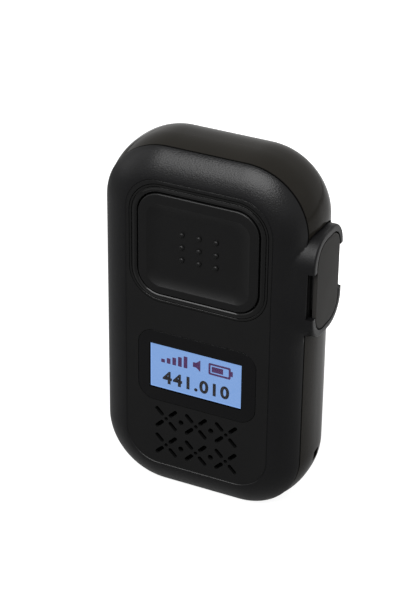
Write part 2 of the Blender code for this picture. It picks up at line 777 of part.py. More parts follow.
def strap_slot(shell):
    """Tunnel through a solid corner block, in at the right side and out underneath."""
    z = LOW_Z + STRAP_RISE
    y = STRAP_BACK
    half = STRAP_SLOT / 2
    side_x = SIDE_X + SIDE_BULGE
    turn_x = side_x - STRAP_REACH
    room = half + STRAP_BLOCK_WALL
    corner_z = LOW_Z + CASE_CORNER
    block_outline = [(turn_x - room, z + room), (SIDE_X - WALL / 2, z + room)]
    middle = (SIDE_X - CASE_CORNER, corner_z)
    lowest = math.degrees(math.acos((turn_x - room - middle[0]) / (CASE_CORNER - WALL / 2)))
    edge = arc(middle, CASE_CORNER - WALL / 2, -lowest, 0, CORNER_STEPS)
    block_outline += [point for point in reversed(edge) if point[1] < z + room]
    block = plate("strap_block", block_outline, 2 * room, (0, y, 0), "Y")
    side_hole = box(
        "strap_side_hole", (turn_x - half, y - half, z - half), (side_x + OVERCUT, y + half, z + half)
    )
    under_hole = box(
        "strap_under_hole", (turn_x - half, y - half, -OVERCUT), (turn_x + half, y + half, z)
    )
    fuse(shell, block)
    cut(shell, side_hole, under_hole)


def case_seal():
    """Gasket that bridges the seam from inside."""
    inset = WALL + SEAL_OFFSET
    middle = (SEAM_Y + REAR_RIM_Y) / 2
    front, rear = middle - SEAL_DEPTH / 2, middle + SEAL_DEPTH / 2
    sections = [
        case_section(inset, front),
        case_section(inset, rear),
        case_section(inset + SEAL_WIDTH, rear),
        case_section(inset + SEAL_WIDTH, front),
    ]
    loft("case_seal", sections, "Y", (0, 0, CENTRE_Z), RUBBER, ring=True)


def bezel_size(spread):
    """Width, height and corner of the ring's outside, spread by a clearance."""
    grow = 2 * (PTT_SIDE_GAP + BEZEL_BAND + spread)
    return PTT_WIDTH + grow, PTT_HEIGHT + grow, PTT_CORNER + grow / 2


def ptt_bezel():
    """Raised ring that sits in the panel, with a lip behind it."""
    outer = bezel_size(0)

    def section(inset, place):
        return (outer[0] - 2 * inset, outer[1] - 2 * inset, outer[2] - inset, place)

    lip_front = PANEL_IN_Y + GAP
    lip_rear = lip_front + BEZEL_FLANGE
    crest = FACE_Y - BEZEL_PROUD
    sections = [
        section(0, FACE_Y),
        section(BEZEL_BAND * 0.2, crest + BEZEL_PROUD * 0.2),
        section(BEZEL_BAND * 0.5, crest),
        section(BEZEL_BAND * 0.8, crest + BEZEL_PROUD * 0.3),
        section(BEZEL_BAND, FACE_Y),
        section(BEZEL_BAND, lip_rear),
        section(-BEZEL_LIP, lip_rear),
        section(-BEZEL_LIP, lip_front),
        section(0, lip_front),
    ]
    loft("ptt_bezel", sections, "Y", (0, 0, PTT_Z), TRIM, ring=True)


def ptt_button():
    """Dished button with nubs, a stop flange behind the ring, and a plunger."""
    flange_front = PANEL_IN_Y + GAP + BEZEL_FLANGE + GAP
    flange_rear = flange_front + PTT_FLANGE

    def section(inset, place):
        return (PTT_WIDTH - 2 * inset, PTT_HEIGHT - 2 * inset, PTT_CORNER - inset, place)

    sections = [
        section(-PTT_FLANGE_LIP, flange_rear),
        section(-PTT_FLANGE_LIP, flange_front),
        section(0, flange_front),
        section(0, FACE_Y + PTT_EDGE),
        section(PTT_EDGE * 0.3, FACE_Y + PTT_EDGE * 0.3),
        section(PTT_EDGE, FACE_Y),
        section(PTT_RIM, FACE_Y),
        section(PTT_RIM + PTT_DISH, FACE_Y + PTT_DISH * 0.6),
        section(PTT_RIM + PTT_DISH * 3, FACE_Y + PTT_DISH),
    ]
    button = loft("ptt_button", sections, "Y", (0, 0, PTT_Z), BUTTON)
    dish_y = FACE_Y + PTT_DISH
    nubs = []
    for row in range(NUB_COUNT):
        for column in range(NUB_COUNT):
            x = (column - (NUB_COUNT - 1) / 2) * NUB_PITCH_X
            z = PTT_Z + NUB_RISE + (row - (NUB_COUNT - 1) / 2) * NUB_PITCH_Z
            root, tip = (x, dish_y + GAP, z), (x, dish_y - NUB_HEIGHT, z)
            nub = rod("nub", NUB_RADIUS, root, tip, "Y", sides=8, tip_radius=NUB_RADIUS / 2)
            nubs.append(nub)
    plunger = rod(
        "ptt_plunger",
        PLUNGER_RADIUS,
        (0, flange_rear - GAP, PTT_Z),
        (0, flange_rear + PLUNGER_LENGTH, PTT_Z),
        "Y",
    )
    fuse(button, merged("ptt_nubs", nubs), plunger)

    reach = flange_rear + PLUNGER_LENGTH + PTT_TRAVEL + SWITCH_SPARE
    base_rear = BOARD_FRONT_Y - GAP
    base_front = base_rear - SWITCH_HEIGHT
    half = SWITCH_SIZE / 2
    switch = box("ptt_switch", (-half, base_front, PTT_Z - half), (half, base_rear, PTT_Z + half), NYLON)
    actuator = rod(
        "ptt_actuator", ACTUATOR_RADIUS, (0, reach, PTT_Z), (0, base_front + GAP, PTT_Z), "Y"
    )
    fuse(switch, actuator)


def display():
    """Window, display panel and the frame that holds it."""
    lens = rounded_rectangle(LENS_WIDTH, LENS_HEIGHT, LENS_CORNER)
    plate("display_lens", lens, LENS_THICK, (0, FACE_Y + LENS_THICK / 2, LENS_Z), "Y", LENS)

    glass_y = FACE_Y + LENS_THICK + GAP
    body_y = PANEL_IN_Y + GAP
    back_y = body_y + LCD_THICK
    width, height = GLASS_WIDTH + 2 * LCD_BORDER, GLASS_HEIGHT + 2 * LCD_BORDER
    panel = [
        (GLASS_WIDTH, GLASS_HEIGHT, GLASS_CORNER, glass_y),
        (GLASS_WIDTH, GLASS_HEIGHT, GLASS_CORNER, body_y),
        (width, height, GLASS_CORNER, body_y),
        (width, height, GLASS_CORNER, back_y),
    ]
    loft("lcd_panel", panel, "Y", (0, 0, LENS_Z), SCREEN, steps=2)

    front = back_y + GAP
    rear = front + LCD_FRAME_THICK
    inner = (width - 2 * LCD_FRAME_WALL, height - 2 * LCD_FRAME_WALL, GLASS_CORNER)
    frame = [
        (width, height, GLASS_CORNER, front),
        (width, height, GLASS_CORNER, rear),
        (*inner, rear),
        (*inner, front),
    ]
    loft("lcd_frame", frame, "Y", (0, 0, LENS_Z), NYLON, ring=True, steps=2)


def speaker():
    """Dust cloth, gasket, basket, cone and magnet behind the grille."""
    cloth_y = PANEL_IN_Y + GAP
    cloth = rounded_rectangle(
        (GRILLE_COLUMNS - 1) * GRILLE_PITCH_X + 2 * (GRILLE_REACH / math.sqrt(2) + CLOTH_MARGIN),
        (GRILLE_ROWS - 1) * GRILLE_PITCH_Z + 2 * (GRILLE_REACH / math.sqrt(2) + CLOTH_MARGIN),
        CLOTH_MARGIN,
        EDGE_STEPS,
    )
    plate("grille_cloth", cloth, CLOTH_THICK, (0, cloth_y + CLOTH_THICK / 2, GRILLE_Z), "Y", CLOTH)

    place = (0, 0, GRILLE_Z)
    gasket_y = cloth_y + CLOTH_THICK + GAP
    gasket_end = gasket_y + SPEAKER_GASKET
    inner = SPEAKER_RADIUS - SPEAKER_RIM
    gasket = [
        (SPEAKER_RADIUS, -gasket_y),
        (SPEAKER_RADIUS, -gasket_end),
        (inner, -gasket_end),
        (inner, -gasket_y),
    ]
    turned("speaker_gasket", gasket, place, "Y", FOAM, closed=True)

    top = gasket_end + GAP
    back = top + BASKET_DEPTH
    hole = MAGNET_RADIUS + GAP
    basket = [
        (SPEAKER_RADIUS, -top),
        (SPEAKER_RADIUS, -top - BASKET_FLANGE),
        (inner, -top - BASKET_FLANGE),
        (inner - BASKET_WALL, -back),
        (hole, -back),
        (hole, -back + BASKET_WALL),
        (inner - 2 * BASKET_WALL, -back + BASKET_WALL),
        (inner - BASKET_WALL, -top),
    ]
    turned("speaker_basket", basket, place, "Y", TIN, closed=True)

    rim = inner - BASKET_WALL - 2 * GAP
    cone = [
        (0, -top - CONE_DEPTH),
        (rim * 0.35, -top - CONE_DEPTH),
        (rim, -top),
        (rim, -top - CONE_THICK),
        (rim * 0.35, -top - CONE_DEPTH - CONE_THICK),
        (0, -top - CONE_DEPTH - CONE_THICK),
    ]
    turned("speaker_cone", cone, place, "Y", PAPER)
    magnet_y = BOARD_FRONT_Y - GAP
    rod(
        "speaker_magnet",
        MAGNET_RADIUS,
        (0, magnet_y - MAGNET_LENGTH, GRILLE_Z),
        (0, magnet_y, GRILLE_Z),
        "Y",
        FERRITE,
    )


def microphone():
    """Capsule in a rubber boot that stands over the sound hole in the underside."""
    boot_radius = MIC_RADIUS + GAP + MIC_BOOT_WALL
    y = PANEL_IN_Y + MIC_SET_BACK + boot_radius
    floor_z = BASE_LIFT + WALL + SEAL_OFFSET + SEAL_WIDTH + GAP
    boot_top = floor_z + MIC_BOOT_WALL + GAP + MIC_LENGTH
    boot = [
        (boot_radius, boot_top),
        (boot_radius, floor_z),
        (MIC_HOLE_RADIUS, floor_z),
        (MIC_HOLE_RADIUS, floor_z + MIC_BOOT_WALL),
        (MIC_RADIUS + GAP, floor_z + MIC_BOOT_WALL),
        (MIC_RADIUS + GAP, boot_top),
    ]
    turned("mic_boot", boot, (MIC_X, y, 0), "Z", RUBBER, closed=True, steps=16)
    bottom = floor_z + MIC_BOOT_WALL + GAP
    rod("microphone", MIC_RADIUS, (MIC_X, y, bottom), (MIC_X, y, boot_top), "Z", TIN, sides=16)


def electronics():
    """Board, shield, antenna coil, battery and its foam."""
    width = CASE_WIDTH - 2 * BOARD_SIDE_MARGIN
    height = CASE_HEIGHT - 2 * BOARD_END_MARGIN
    outline = rounded_rectangle(width, height, CASE_CORNER - BOARD_SIDE_MARGIN, EDGE_STEPS)
    middle_y = (BOARD_FRONT_Y + BOARD_BACK_Y) / 2
    board = plate("main_board", outline, BOARD_THICK, (0, middle_y, CENTRE_Z), "Y", BOARD)
    holes = []
    for x, z in SCREW_SPOTS:
        low, high = (x, BOARD_FRONT_Y - OVERCUT, z), (x, BOARD_BACK_Y + OVERCUT, z)
        holes.append(rod("board_hole", BORE_RADIUS, low, high, "Y"))
    cut(board, merged("board_holes", holes))

    shield_rear = BOARD_FRONT_Y - GAP
    box(
        "shield_can",
        (-SHIELD_WIDTH / 2, shield_rear - SHIELD_DEPTH, LENS_Z - SHIELD_HEIGHT / 2),
        (SHIELD_WIDTH / 2, shield_rear, LENS_Z + SHIELD_HEIGHT / 2),
        TIN,
        edge=GAP,
    )

    length = ANTENNA_TURNS * ANTENNA_PITCH
    count = ANTENNA_TURNS * COIL_POINTS
    coil = []
    for step in range(count + 1):
        angle = math.pi + 2 * math.pi * step / COIL_POINTS
        x = length * (step / count - 0.5)
        coil.append((x, ANTENNA_RADIUS * math.cos(angle), ANTENNA_RADIUS * math.sin(angle)))
    board_gap = ANTENNA_STANDOFF - GAP
    coil.append((length / 2, -ANTENNA_RADIUS, -ANTENNA_LEAD))
    coil.append((length / 2, -board_gap, -ANTENNA_LEAD))
    print_least_gap("antenna", coil, ANTENNA_WIRE, COIL_POINTS)
    place = (0, BOARD_BACK_Y + ANTENNA_STANDOFF, TOP_Z - ANTENNA_DROP)
    wire("antenna", coil, ANTENNA_WIRE, place, GOLD)

    low = (-BATTERY_WIDTH / 2, BATTERY_FRONT_Y, CENTRE_Z - BATTERY_HEIGHT / 2)
    high = (BATTERY_WIDTH / 2, BATTERY_BACK_Y, CENTRE_Z + BATTERY_HEIGHT / 2)
    box("battery_pack", low, high, CELL, edge=BATTERY_EDGE)
    box(
        "battery_foam",
        (low[0] + FOAM_MARGIN, BOARD_BACK_Y + GAP, low[2] + FOAM_MARGIN),
        (high[0] - FOAM_MARGIN, BATTERY_FRONT_Y - GAP, high[2] - FOAM_MARGIN),
        FOAM,
    )
    floor_z = BASE_LIFT + WALL
    for side, x in (("left", -CHARGE_X), ("right", CHARGE_X)):
        lip = CHARGE_RADIUS + CHARGE_LIP
        contact = [
            (0, floor_z + GAP + CHARGE_FLANGE),
            (lip, floor_z + GAP + CHARGE_FLANGE),
            (lip, floor_z + GAP),
            (CHARGE_RADIUS, floor_z + GAP),
            (CHARGE_RADIUS, CHARGE_SUNK),
            (0, CHARGE_SUNK),
        ]
        turned(f"charge_contact_{side}", contact, (x, 0, 0), "Z", GOLD)


def accessory_port():
    """Cover, seal, connector block and its two rows of contacts."""
    well_width = PORT_DEPTH - 2 * PORT_WALL - 2 * GAP
    well_height = PORT_HEIGHT - 2 * PORT_WALL - 2 * GAP
    corner = PORT_CORNER - PORT_WALL - GAP
    place = (0, PORT_Y, PORT_Z)
    cover = [
        (well_width, well_height, corner, COVER_IN_X),
        (well_width, well_height, corner, PORT_X - COVER_EDGE),
        (well_width - 2 * COVER_EDGE, well_height - 2 * COVER_EDGE, corner - COVER_EDGE, PORT_X),
    ]
    loft("port_cover", cover, "X", place, COVER)

    seal_in, seal_out = PORT_FLOOR_X + GAP, COVER_IN_X - GAP
    hole = (well_width - 2 * PORT_SEAL_WIDTH, well_height - 2 * PORT_SEAL_WIDTH, corner - PORT_SEAL_WIDTH)
    seal = [
        (well_width, well_height, corner, seal_in),
        (well_width, well_height, corner, seal_out),
        (*hole, seal_out),
        (*hole, seal_in),
    ]
    loft("port_seal", seal, "X", place, RUBBER, ring=True, steps=EDGE_STEPS)

    flange_out = INNER_X - GAP
    flange_in = flange_out - CONNECTOR_FLANGE
    body = (CONNECTOR_DEPTH, CONNECTOR_HEIGHT, CONNECTOR_CORNER)
    spread = 2 * CONNECTOR_LIP
    flange = (CONNECTOR_DEPTH + spread, CONNECTOR_HEIGHT + spread, CONNECTOR_CORNER)
    block_sections = [(*flange, flange_in), (*flange, flange_out), (*body, flange_out), (*body, seal_out)]
    block = loft("port_connector", block_sections, "X", place, NYLON, steps=2)

    rail_out = flange_in - GAP
    tip_x = seal_out + CONTACT_PROUD
    bores = []
    for row, y in (("front", -CONTACT_ROW_GAP / 2), ("rear", CONTACT_ROW_GAP / 2)):
        y += PORT_Y
        reach = (CONTACT_COUNT - 1) / 2 * CONTACT_PITCH + CONTACT_RADIUS
        rail = box(
            f"port_contacts_{row}",
            (rail_out - CONTACT_RAIL, y - CONTACT_RADIUS, PORT_Z - reach),
            (rail_out, y + CONTACT_RADIUS, PORT_Z + reach),
            GOLD,
        )
        pins = []
        for index in range(CONTACT_COUNT):
            z = PORT_Z + (index - (CONTACT_COUNT - 1) / 2) * CONTACT_PITCH
            start = (rail_out - CONTACT_RAIL / 2, y, z)
            pins.append(rod("contact_pin", CONTACT_RADIUS * 0.9, start, (tip_x, y, z), "X", sides=8))
            low, high = (flange_in - OVERCUT, y, z), (tip_x + OVERCUT, y, z)
            bores.append(rod("contact_bore", CONTACT_RADIUS + GAP, low, high, "X", sides=8))
        fuse(rail, merged(f"contact_pins_{row}", pins))
    cut(block, merged("contact_bores", bores))


def key_heights():
    """Height of each side key, by name, from the top down."""
    return {name: TOP_Z - KEY_DROP - index * KEY_PITCH for index, name in enumerate(KEY_NAMES)}


def side_keys():
    """Keys in the left side of the rear shell, each over its own switch."""
    outer = -(SIDE_X + SIDE_BULGE + KEY_PROUD)
    flange_out = -(INNER_X - GAP)
    flange_in = flange_out + KEY_FLANGE
    lip = 2 * KEY_LIP
    for name, z in key_heights().items():
        cap = (KEY_DEPTH, KEY_HEIGHT, KEY_CORNER)
        face = (KEY_DEPTH - 2 * KEY_EDGE, KEY_HEIGHT - 2 * KEY_EDGE, KEY_CORNER - KEY_EDGE)
        flange = (KEY_DEPTH + lip, KEY_HEIGHT + lip, KEY_CORNER)
        sections = [
            (*face, outer),
            (*cap, outer + KEY_EDGE),
            (*cap, flange_out),
            (*flange, flange_out),
            (*flange, flange_in),
        ]
        loft(f"{name}_key", sections, "X", (0, SIDE_MID_Y, z), BUTTON, steps=EDGE_STEPS)

        nub_x = flange_in + KEY_TRAVEL + SWITCH_SPARE
        body_x = nub_x + KEY_SWITCH_NUB / 2
        half = KEY_SWITCH_SIZE / 2
        front = BOARD_BACK_Y + GAP
        switch = box(
            f"{name}_switch",
            (body_x, front, z - half),
            (body_x + KEY_SWITCH_LENGTH, front + KEY_SWITCH_SIZE, z + half),
            NYLON,
        )
        nub_y = front + half
        nub_end = (body_x + GAP, nub_y, z)
        nub = rod(f"{name}_nub", KEY_SWITCH_NUB, (nub_x, nub_y, z), nub_end, "X", sides=SMALL_SIDES)
        fuse(switch, nub)


def clip_screw_spots():
    """Places of the two screws that hold the clip's bracket."""
    z = HINGE_Z - CLIP_SCREW_DROP
    return {"left": (-CLIP_SCREW_X, z), "right": (CLIP_SCREW_X, z)}


def belt_clip():
    """Bracket on the back, sprung lever, hinge pin and torsion spring."""
    ear_in = CLIP_WIDTH / 2 + CLIP_SIDE_GAP
    ear_out = ear_in + EAR_THICK
    height = BRACKET_ABOVE + BRACKET_BELOW
    outline = rounded_rectangle(BRACKET_WIDTH, height, BRACKET_CORNER, EDGE_STEPS)
    middle_z = HINGE_Z + (BRACKET_ABOVE - BRACKET_BELOW) / 2
    middle_y = (BRACKET_IN_Y + BRACKET_OUT_Y) / 2
    bracket = plate("clip_bracket", outline, BRACKET_THICK, (0, middle_y, middle_z), "Y", NYLON)
    root = BRACKET_IN_Y + BRACKET_THICK / 2 - HINGE_Y
    ear_outline = [(root, -EAR_SIZE / 2)]
    ear_outline += arc((0, 0), EAR_SIZE / 2, -90, 90, CORNER_STEPS)
    ear_outline += [(root, EAR_SIZE / 2)]
    for side in (-1, 1):
        ear_x = side * (ear_in + ear_out) / 2
        fuse(bracket, plate("clip_ear", ear_outline, EAR_THICK, (ear_x, HINGE_Y, HINGE_Z), "X"))
    pin_reach = ear_out + PIN_END
    hole_reach = ear_out + OVERCUT
    hole = rod(
        "ear_hole", PIN_RADIUS + GAP, (-hole_reach, HINGE_Y, HINGE_Z), (hole_reach, HINGE_Y, HINGE_Z), "X"
    )
    screw_holes = []
    for x, z in clip_screw_spots().values():
        low, high = (x, BRACKET_IN_Y - OVERCUT, z), (x, BRACKET_OUT_Y + OVERCUT, z)
        screw_holes.append(rod("clip_screw_hole", CLIP_SCREW_RADIUS + GAP, low, high, "Y"))
    cut(bracket, hole, merged("clip_screw_holes", screw_holes))

    lever = plate("belt_clip", lever_outline(), CLIP_WIDTH, (0, HINGE_Y, HINGE_Z), "X", NYLON)
    coil_half = SPRING_TURNS * SPRING_PITCH / 2 + SPRING_WIRE / 2 + SPRING_ROOM
    coil_room = box(
        "spring_room",
        (-coil_half, HINGE_Y - 2 * CLIP_LUG_RADIUS, HINGE_Z - CLIP_LUG_RADIUS - OVERCUT),
        (coil_half, HINGE_Y + CLIP_PLATE_GAP, HINGE_Z + CLIP_LUG_RADIUS + OVERCUT),
    )
    lever_bore = rod(
        "lever_bore", PIN_RADIUS + GAP, (-ear_in, HINGE_Y, HINGE_Z), (ear_in, HINGE_Y, HINGE_Z), "X"
    )
    cut(lever, coil_room, lever_bore)

    rod("clip_pin", PIN_RADIUS, (-pin_reach, HINGE_Y, HINGE_Z), (pin_reach, HINGE_Y, HINGE_Z), "X", STEEL)
    clip_spring()
    head_y = BRACKET_OUT_Y + GAP
    screw_set(
        "clip_screw",
        clip_screw_spots(),
        head_y,
        CLIP_SCREW_HEAD,
        CLIP_SCREW_HEAD_RADIUS,
        BACK_IN_Y + GAP,
        CLIP_SCREW_RADIUS,
        STEEL,
    )


def lever_outline():
    """Side view of the lever about its hinge: thumb pad, plate, hooked tip and hinge lug, as (Y, Z)."""
    inner = CLIP_PLATE_GAP
    outer = inner + CLIP_THICK
    tip = BACK_Y + CLIP_TIP_GAP - HINGE_Y
    depth = outer - tip
    low = -CLIP_BELOW
    hook_top = low + CLIP_HOOK_HEIGHT
    points = [(outer, CLIP_ABOVE - CLIP_THICK)]
    points += arc((outer - CLIP_THICK / 2, CLIP_ABOVE - CLIP_THICK / 2), CLIP_THICK / 2, 0, 180, EDGE_STEPS)
    points += [(inner, CLIP_LUG_RADIUS)]
    points += arc((0, 0), CLIP_LUG_RADIUS, 90, 270, CORNER_STEPS)
    points += [(inner, -CLIP_LUG_RADIUS), (inner, hook_top + CLIP_HOOK_HEIGHT / 2)]
    bend = [(0.30, 0.80), (0.62, 0.66), (0.90, 0.62), (1.0, 0.50), (0.97, 0.36), (0.80, 0.22), (0.45, 0.04)]
    points += [(outer - depth * across, low + CLIP_HOOK_HEIGHT * rise) for across, rise in bend]
    points += [(outer - depth * 0.15, low + CLIP_HOOK_HEIGHT * 0.22), (outer, hook_top)]
    return list(reversed(points[1:]))


def clip_spring():
    """Torsion spring round the pin, with one leg on the bracket and one on the thumb pad."""
    length = SPRING_TURNS * SPRING_PITCH
    count = round(SPRING_TURNS * COIL_POINTS)
    coil = [(-length / 2, SPRING_RADIUS, SPRING_LEG)]
    for step in range(count + 1):
        angle = -2 * math.pi * SPRING_TURNS * step / count
        x = length * (step / count - 0.5)
        coil.append((x, SPRING_RADIUS * math.cos(angle), SPRING_RADIUS * math.sin(angle)))
    coil.append((length / 2, -SPRING_RADIUS, SPRING_LEG))
    print_least_gap("clip_spring", coil[1:-1], SPRING_WIRE, COIL_POINTS)
    wire("clip_spring", coil, SPRING_WIRE, (0, HINGE_Y, HINGE_Z), STEEL)


def case_screws():
    """Four screws from the back through pillar and board into the front posts."""
    spots = {str(index): spot for index, spot in enumerate(SCREW_SPOTS, 1)}
    head_y = BACK_Y - SCREW_SUNK - SCREW_HEAD
    end_y = BOARD_FRONT_Y - GAP - SCREW_BITE
    screw_set(
        "case_screw", spots, head_y, SCREW_HEAD, SCREW_HEAD_RADIUS, end_y, SCREW_RADIUS, STEEL
    )


front_shell()
rear_shell()
case_seal()
case_screws()
ptt_bezel()
ptt_button()
display()
speaker()
microphone()
electronics()
accessory_port()
side_keys()
belt_clip()
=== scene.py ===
"""Looks of a body-worn portable radio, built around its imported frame.

The moulded shells, the dished button and its ring, the lit display, the side port and the belt clip
are worked out here as fine surfaces. Solids that already have their shape are dressed as they are.
Metres, +Z up, and the front faces -Y.
"""

from __future__ import annotations

import json
import logging
import math
from collections.abc import Callable
from dataclasses import dataclass, replace
from enum import Enum
from itertools import product
from typing import Any

import bmesh
import bpy
import numpy as np
from mathutils import Matrix, Vector

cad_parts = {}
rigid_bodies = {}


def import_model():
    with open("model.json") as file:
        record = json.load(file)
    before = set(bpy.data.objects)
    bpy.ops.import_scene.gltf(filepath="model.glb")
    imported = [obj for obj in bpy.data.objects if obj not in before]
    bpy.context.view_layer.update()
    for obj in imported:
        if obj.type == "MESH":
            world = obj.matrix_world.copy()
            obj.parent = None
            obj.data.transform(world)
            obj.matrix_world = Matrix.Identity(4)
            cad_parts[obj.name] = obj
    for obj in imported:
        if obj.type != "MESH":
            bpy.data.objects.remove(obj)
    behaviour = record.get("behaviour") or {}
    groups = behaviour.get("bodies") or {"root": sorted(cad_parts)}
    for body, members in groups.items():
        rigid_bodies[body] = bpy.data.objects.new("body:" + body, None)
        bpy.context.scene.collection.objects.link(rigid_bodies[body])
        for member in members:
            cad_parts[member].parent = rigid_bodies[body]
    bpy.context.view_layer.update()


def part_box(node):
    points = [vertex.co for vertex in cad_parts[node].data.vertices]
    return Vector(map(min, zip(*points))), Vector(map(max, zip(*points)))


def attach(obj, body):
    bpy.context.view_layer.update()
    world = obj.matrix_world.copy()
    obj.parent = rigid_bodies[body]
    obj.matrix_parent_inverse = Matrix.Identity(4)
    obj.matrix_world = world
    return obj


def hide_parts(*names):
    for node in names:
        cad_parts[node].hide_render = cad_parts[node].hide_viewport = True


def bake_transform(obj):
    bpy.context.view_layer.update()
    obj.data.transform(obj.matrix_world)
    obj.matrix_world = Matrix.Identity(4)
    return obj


LOG = logging.getLogger("portable_radio")
Array = np.ndarray
MM = 0.001
QUARTER_TURN = math.pi / 2
ROOT_BODY = "case"
KEYS = ("power", "volume_up", "volume_down")
LEAST_RADIUS = 1e-6
FINE_CORNER = 20
SOLID_MERGE = 1e-6
# Curves are drawn in millimetres, and so is the gap that closes their seams
CURVE_MERGE = 1e-5
# Least angles, in degrees, of edges that stay sharp
SHARP = 40.0
CASE_SHARP = 50.0
CUT_SHARP = 35.0
GLASS_SHARP = 30.0
WIRE_SHARP = 60.0


class Pattern(Enum):
    """Fine relief of a surface."""

    GRAIN = "moulded grain"
    BRUSHED = "brushed lines"
    WEAVE = "woven mesh"
    CELLS = "open cells"


class Axis(Enum):
    """Axis that a flat shape's thickness runs along, with the turn that stands the shape across it."""

    X = ((0, 0, 1), (1, 0, 0), (0, 1, 0))
    Y = ((1, 0, 0), (0, 0, -1), (0, 1, 0))
    Z = ((1, 0, 0), (0, 1, 0), (0, 0, 1))

    @property
    def number(self) -> int:
        """Number of the axis among X, Y and Z."""
        return "XYZ".index(self.name)

    def stand(self, place: Vector) -> Matrix:
        """Turn of a shape that was drawn flat, and its move to a place."""
        return Matrix.Translation(place) @ Matrix(self.value).to_4x4()


class Graph:
    """Adds and links shader nodes in one tree."""

    def __init__(self, tree: bpy.types.NodeTree) -> None:
        """Keeps the tree and clears what Blender put into it.

        Args:
            tree: Tree of a material, a world or a group.
        """
        self.tree = tree
        tree.nodes.clear()

    def node(self, kind: str, inputs: dict[Any, Any] | None = None, **settings: Any) -> bpy.types.Node:
        """Adds a node, sets its options and fills its inputs.

        Args:
            kind: Blender's name of the node type.
            inputs: Input name or number, to a value or to the socket that feeds it.
            **settings: Options of the node itself.

        Returns:
            The new node.
        """
        made = self.tree.nodes.new(kind)
        for option, value in settings.items():
            setattr(made, option, value)
        for key, value in (inputs or {}).items():
            if isinstance(value, bpy.types.NodeSocket):
                self.tree.links.new(value, made.inputs[key])
            else:
                made.inputs[key].default_value = value
        return made

    def math(self, operation: str, *values: Any) -> bpy.types.NodeSocket:
        """Adds a Math node.

        Args:
            operation: Name of the operation.
            *values: Numbers or sockets, in order.

        Returns:
            The node's output socket.
        """
        return self.node("ShaderNodeMath", dict(enumerate(values)), operation=operation).outputs[0]

    def place(self) -> bpy.types.NodeSocket:
        """Place of the shaded point on its piece."""
        return self.node("ShaderNodeTexCoord").outputs["Object"]

    def relief(self, pattern: Pattern, pitch: float) -> bpy.types.NodeSocket:
        """Adds the group of a relief.

        Args:
            pattern: Which relief.
            pitch: Its pitch in metres.

        Returns:
            Its height, from 0 to 1.
        """
        made = self.node("ShaderNodeGroup", {"Size": pitch}, node_tree=relief_group(pattern))
        return made.outputs["Height"]

    def surface(self, inputs: dict[str, Any]) -> None:
        """Ends a material in one surface shader.

        Args:
            inputs: Input name of the shader, to a value or to the socket that feeds it.
        """
        shader = self.node("ShaderNodeBsdfPrincipled", inputs)
        self.node("ShaderNodeOutputMaterial", {"Surface": shader.outputs[0]})


def new_material(name: str) -> tuple[bpy.types.Material, Graph]:
    """Makes a material with an empty tree.

    Args:
        name: Name of the material.

    Returns:
        The material, and the graph that fills it.
    """
    made = bpy.data.materials.new(name)
    made.use_nodes = True
    return made, Graph(made.node_tree)


def group_tree(name: str, inputs: dict[str, str], outputs: dict[str, str]) -> bpy.types.NodeTree:
    """Makes an empty shader node group with named sockets.

    Args:
        name: Name of the group.
        inputs: Input name to socket type.
        outputs: Output name to socket type.

    Returns:
        The group's tree.
    """
    tree = bpy.data.node_groups.new(name, "ShaderNodeTree")
    for side, sockets in (("INPUT", inputs), ("OUTPUT", outputs)):
        for label, kind in sockets.items():
            tree.interface.new_socket(label, in_out=side, socket_type=kind)
    return tree


def relief_group(pattern: Pattern) -> bpy.types.NodeTree:
    """Group whose Height, from 0 to 1, is the fine relief of one pattern; Size is its pitch in metres.

    Args:
        pattern: Which relief.

    Returns:
        The group, made on its first call.
    """
    name = "relief_" + pattern.name.lower()
    if name in bpy.data.node_groups:
        return bpy.data.node_groups[name]
    tree = group_tree(name, {"Size": "NodeSocketFloat"}, {"Height": "NodeSocketFloat"})
    graph = Graph(tree)
    size = graph.node("NodeGroupInput").outputs["Size"]
    place = graph.place()
    scale = graph.math("DIVIDE", 1.0, size)
    if pattern is Pattern.GRAIN:
        noise = {"Vector": place, "Scale": scale, "Detail": 2.0, "Roughness": 0.6}
        height = graph.node("ShaderNodeTexNoise", noise).outputs[0]
    elif pattern is Pattern.BRUSHED:
        drawn = graph.node("ShaderNodeMapping", {"Vector": place, "Scale": (1.0, 1.0, 0.04)})
        noise = {"Vector": drawn.outputs[0], "Scale": scale, "Detail": 3.0}
        height = graph.node("ShaderNodeTexNoise", noise).outputs[0]
    elif pattern is Pattern.WEAVE:
        axes = graph.node("ShaderNodeSeparateXYZ", {0: place})
        turn = graph.math("MULTIPLY", scale, math.tau)
        warp = graph.math("SINE", graph.math("MULTIPLY", axes.outputs["X"], turn))
        weft = graph.math("SINE", graph.math("MULTIPLY", axes.outputs["Z"], turn))
        height = graph.math("MULTIPLY_ADD", graph.math("MAXIMUM", warp, weft), 0.5, 0.5)
    else:
        cells = {"Vector": place, "Scale": scale}
        height = graph.node("ShaderNodeTexVoronoi", cells).outputs["Distance"]
    graph.node("NodeGroupOutput", {"Height": height})
    return tree


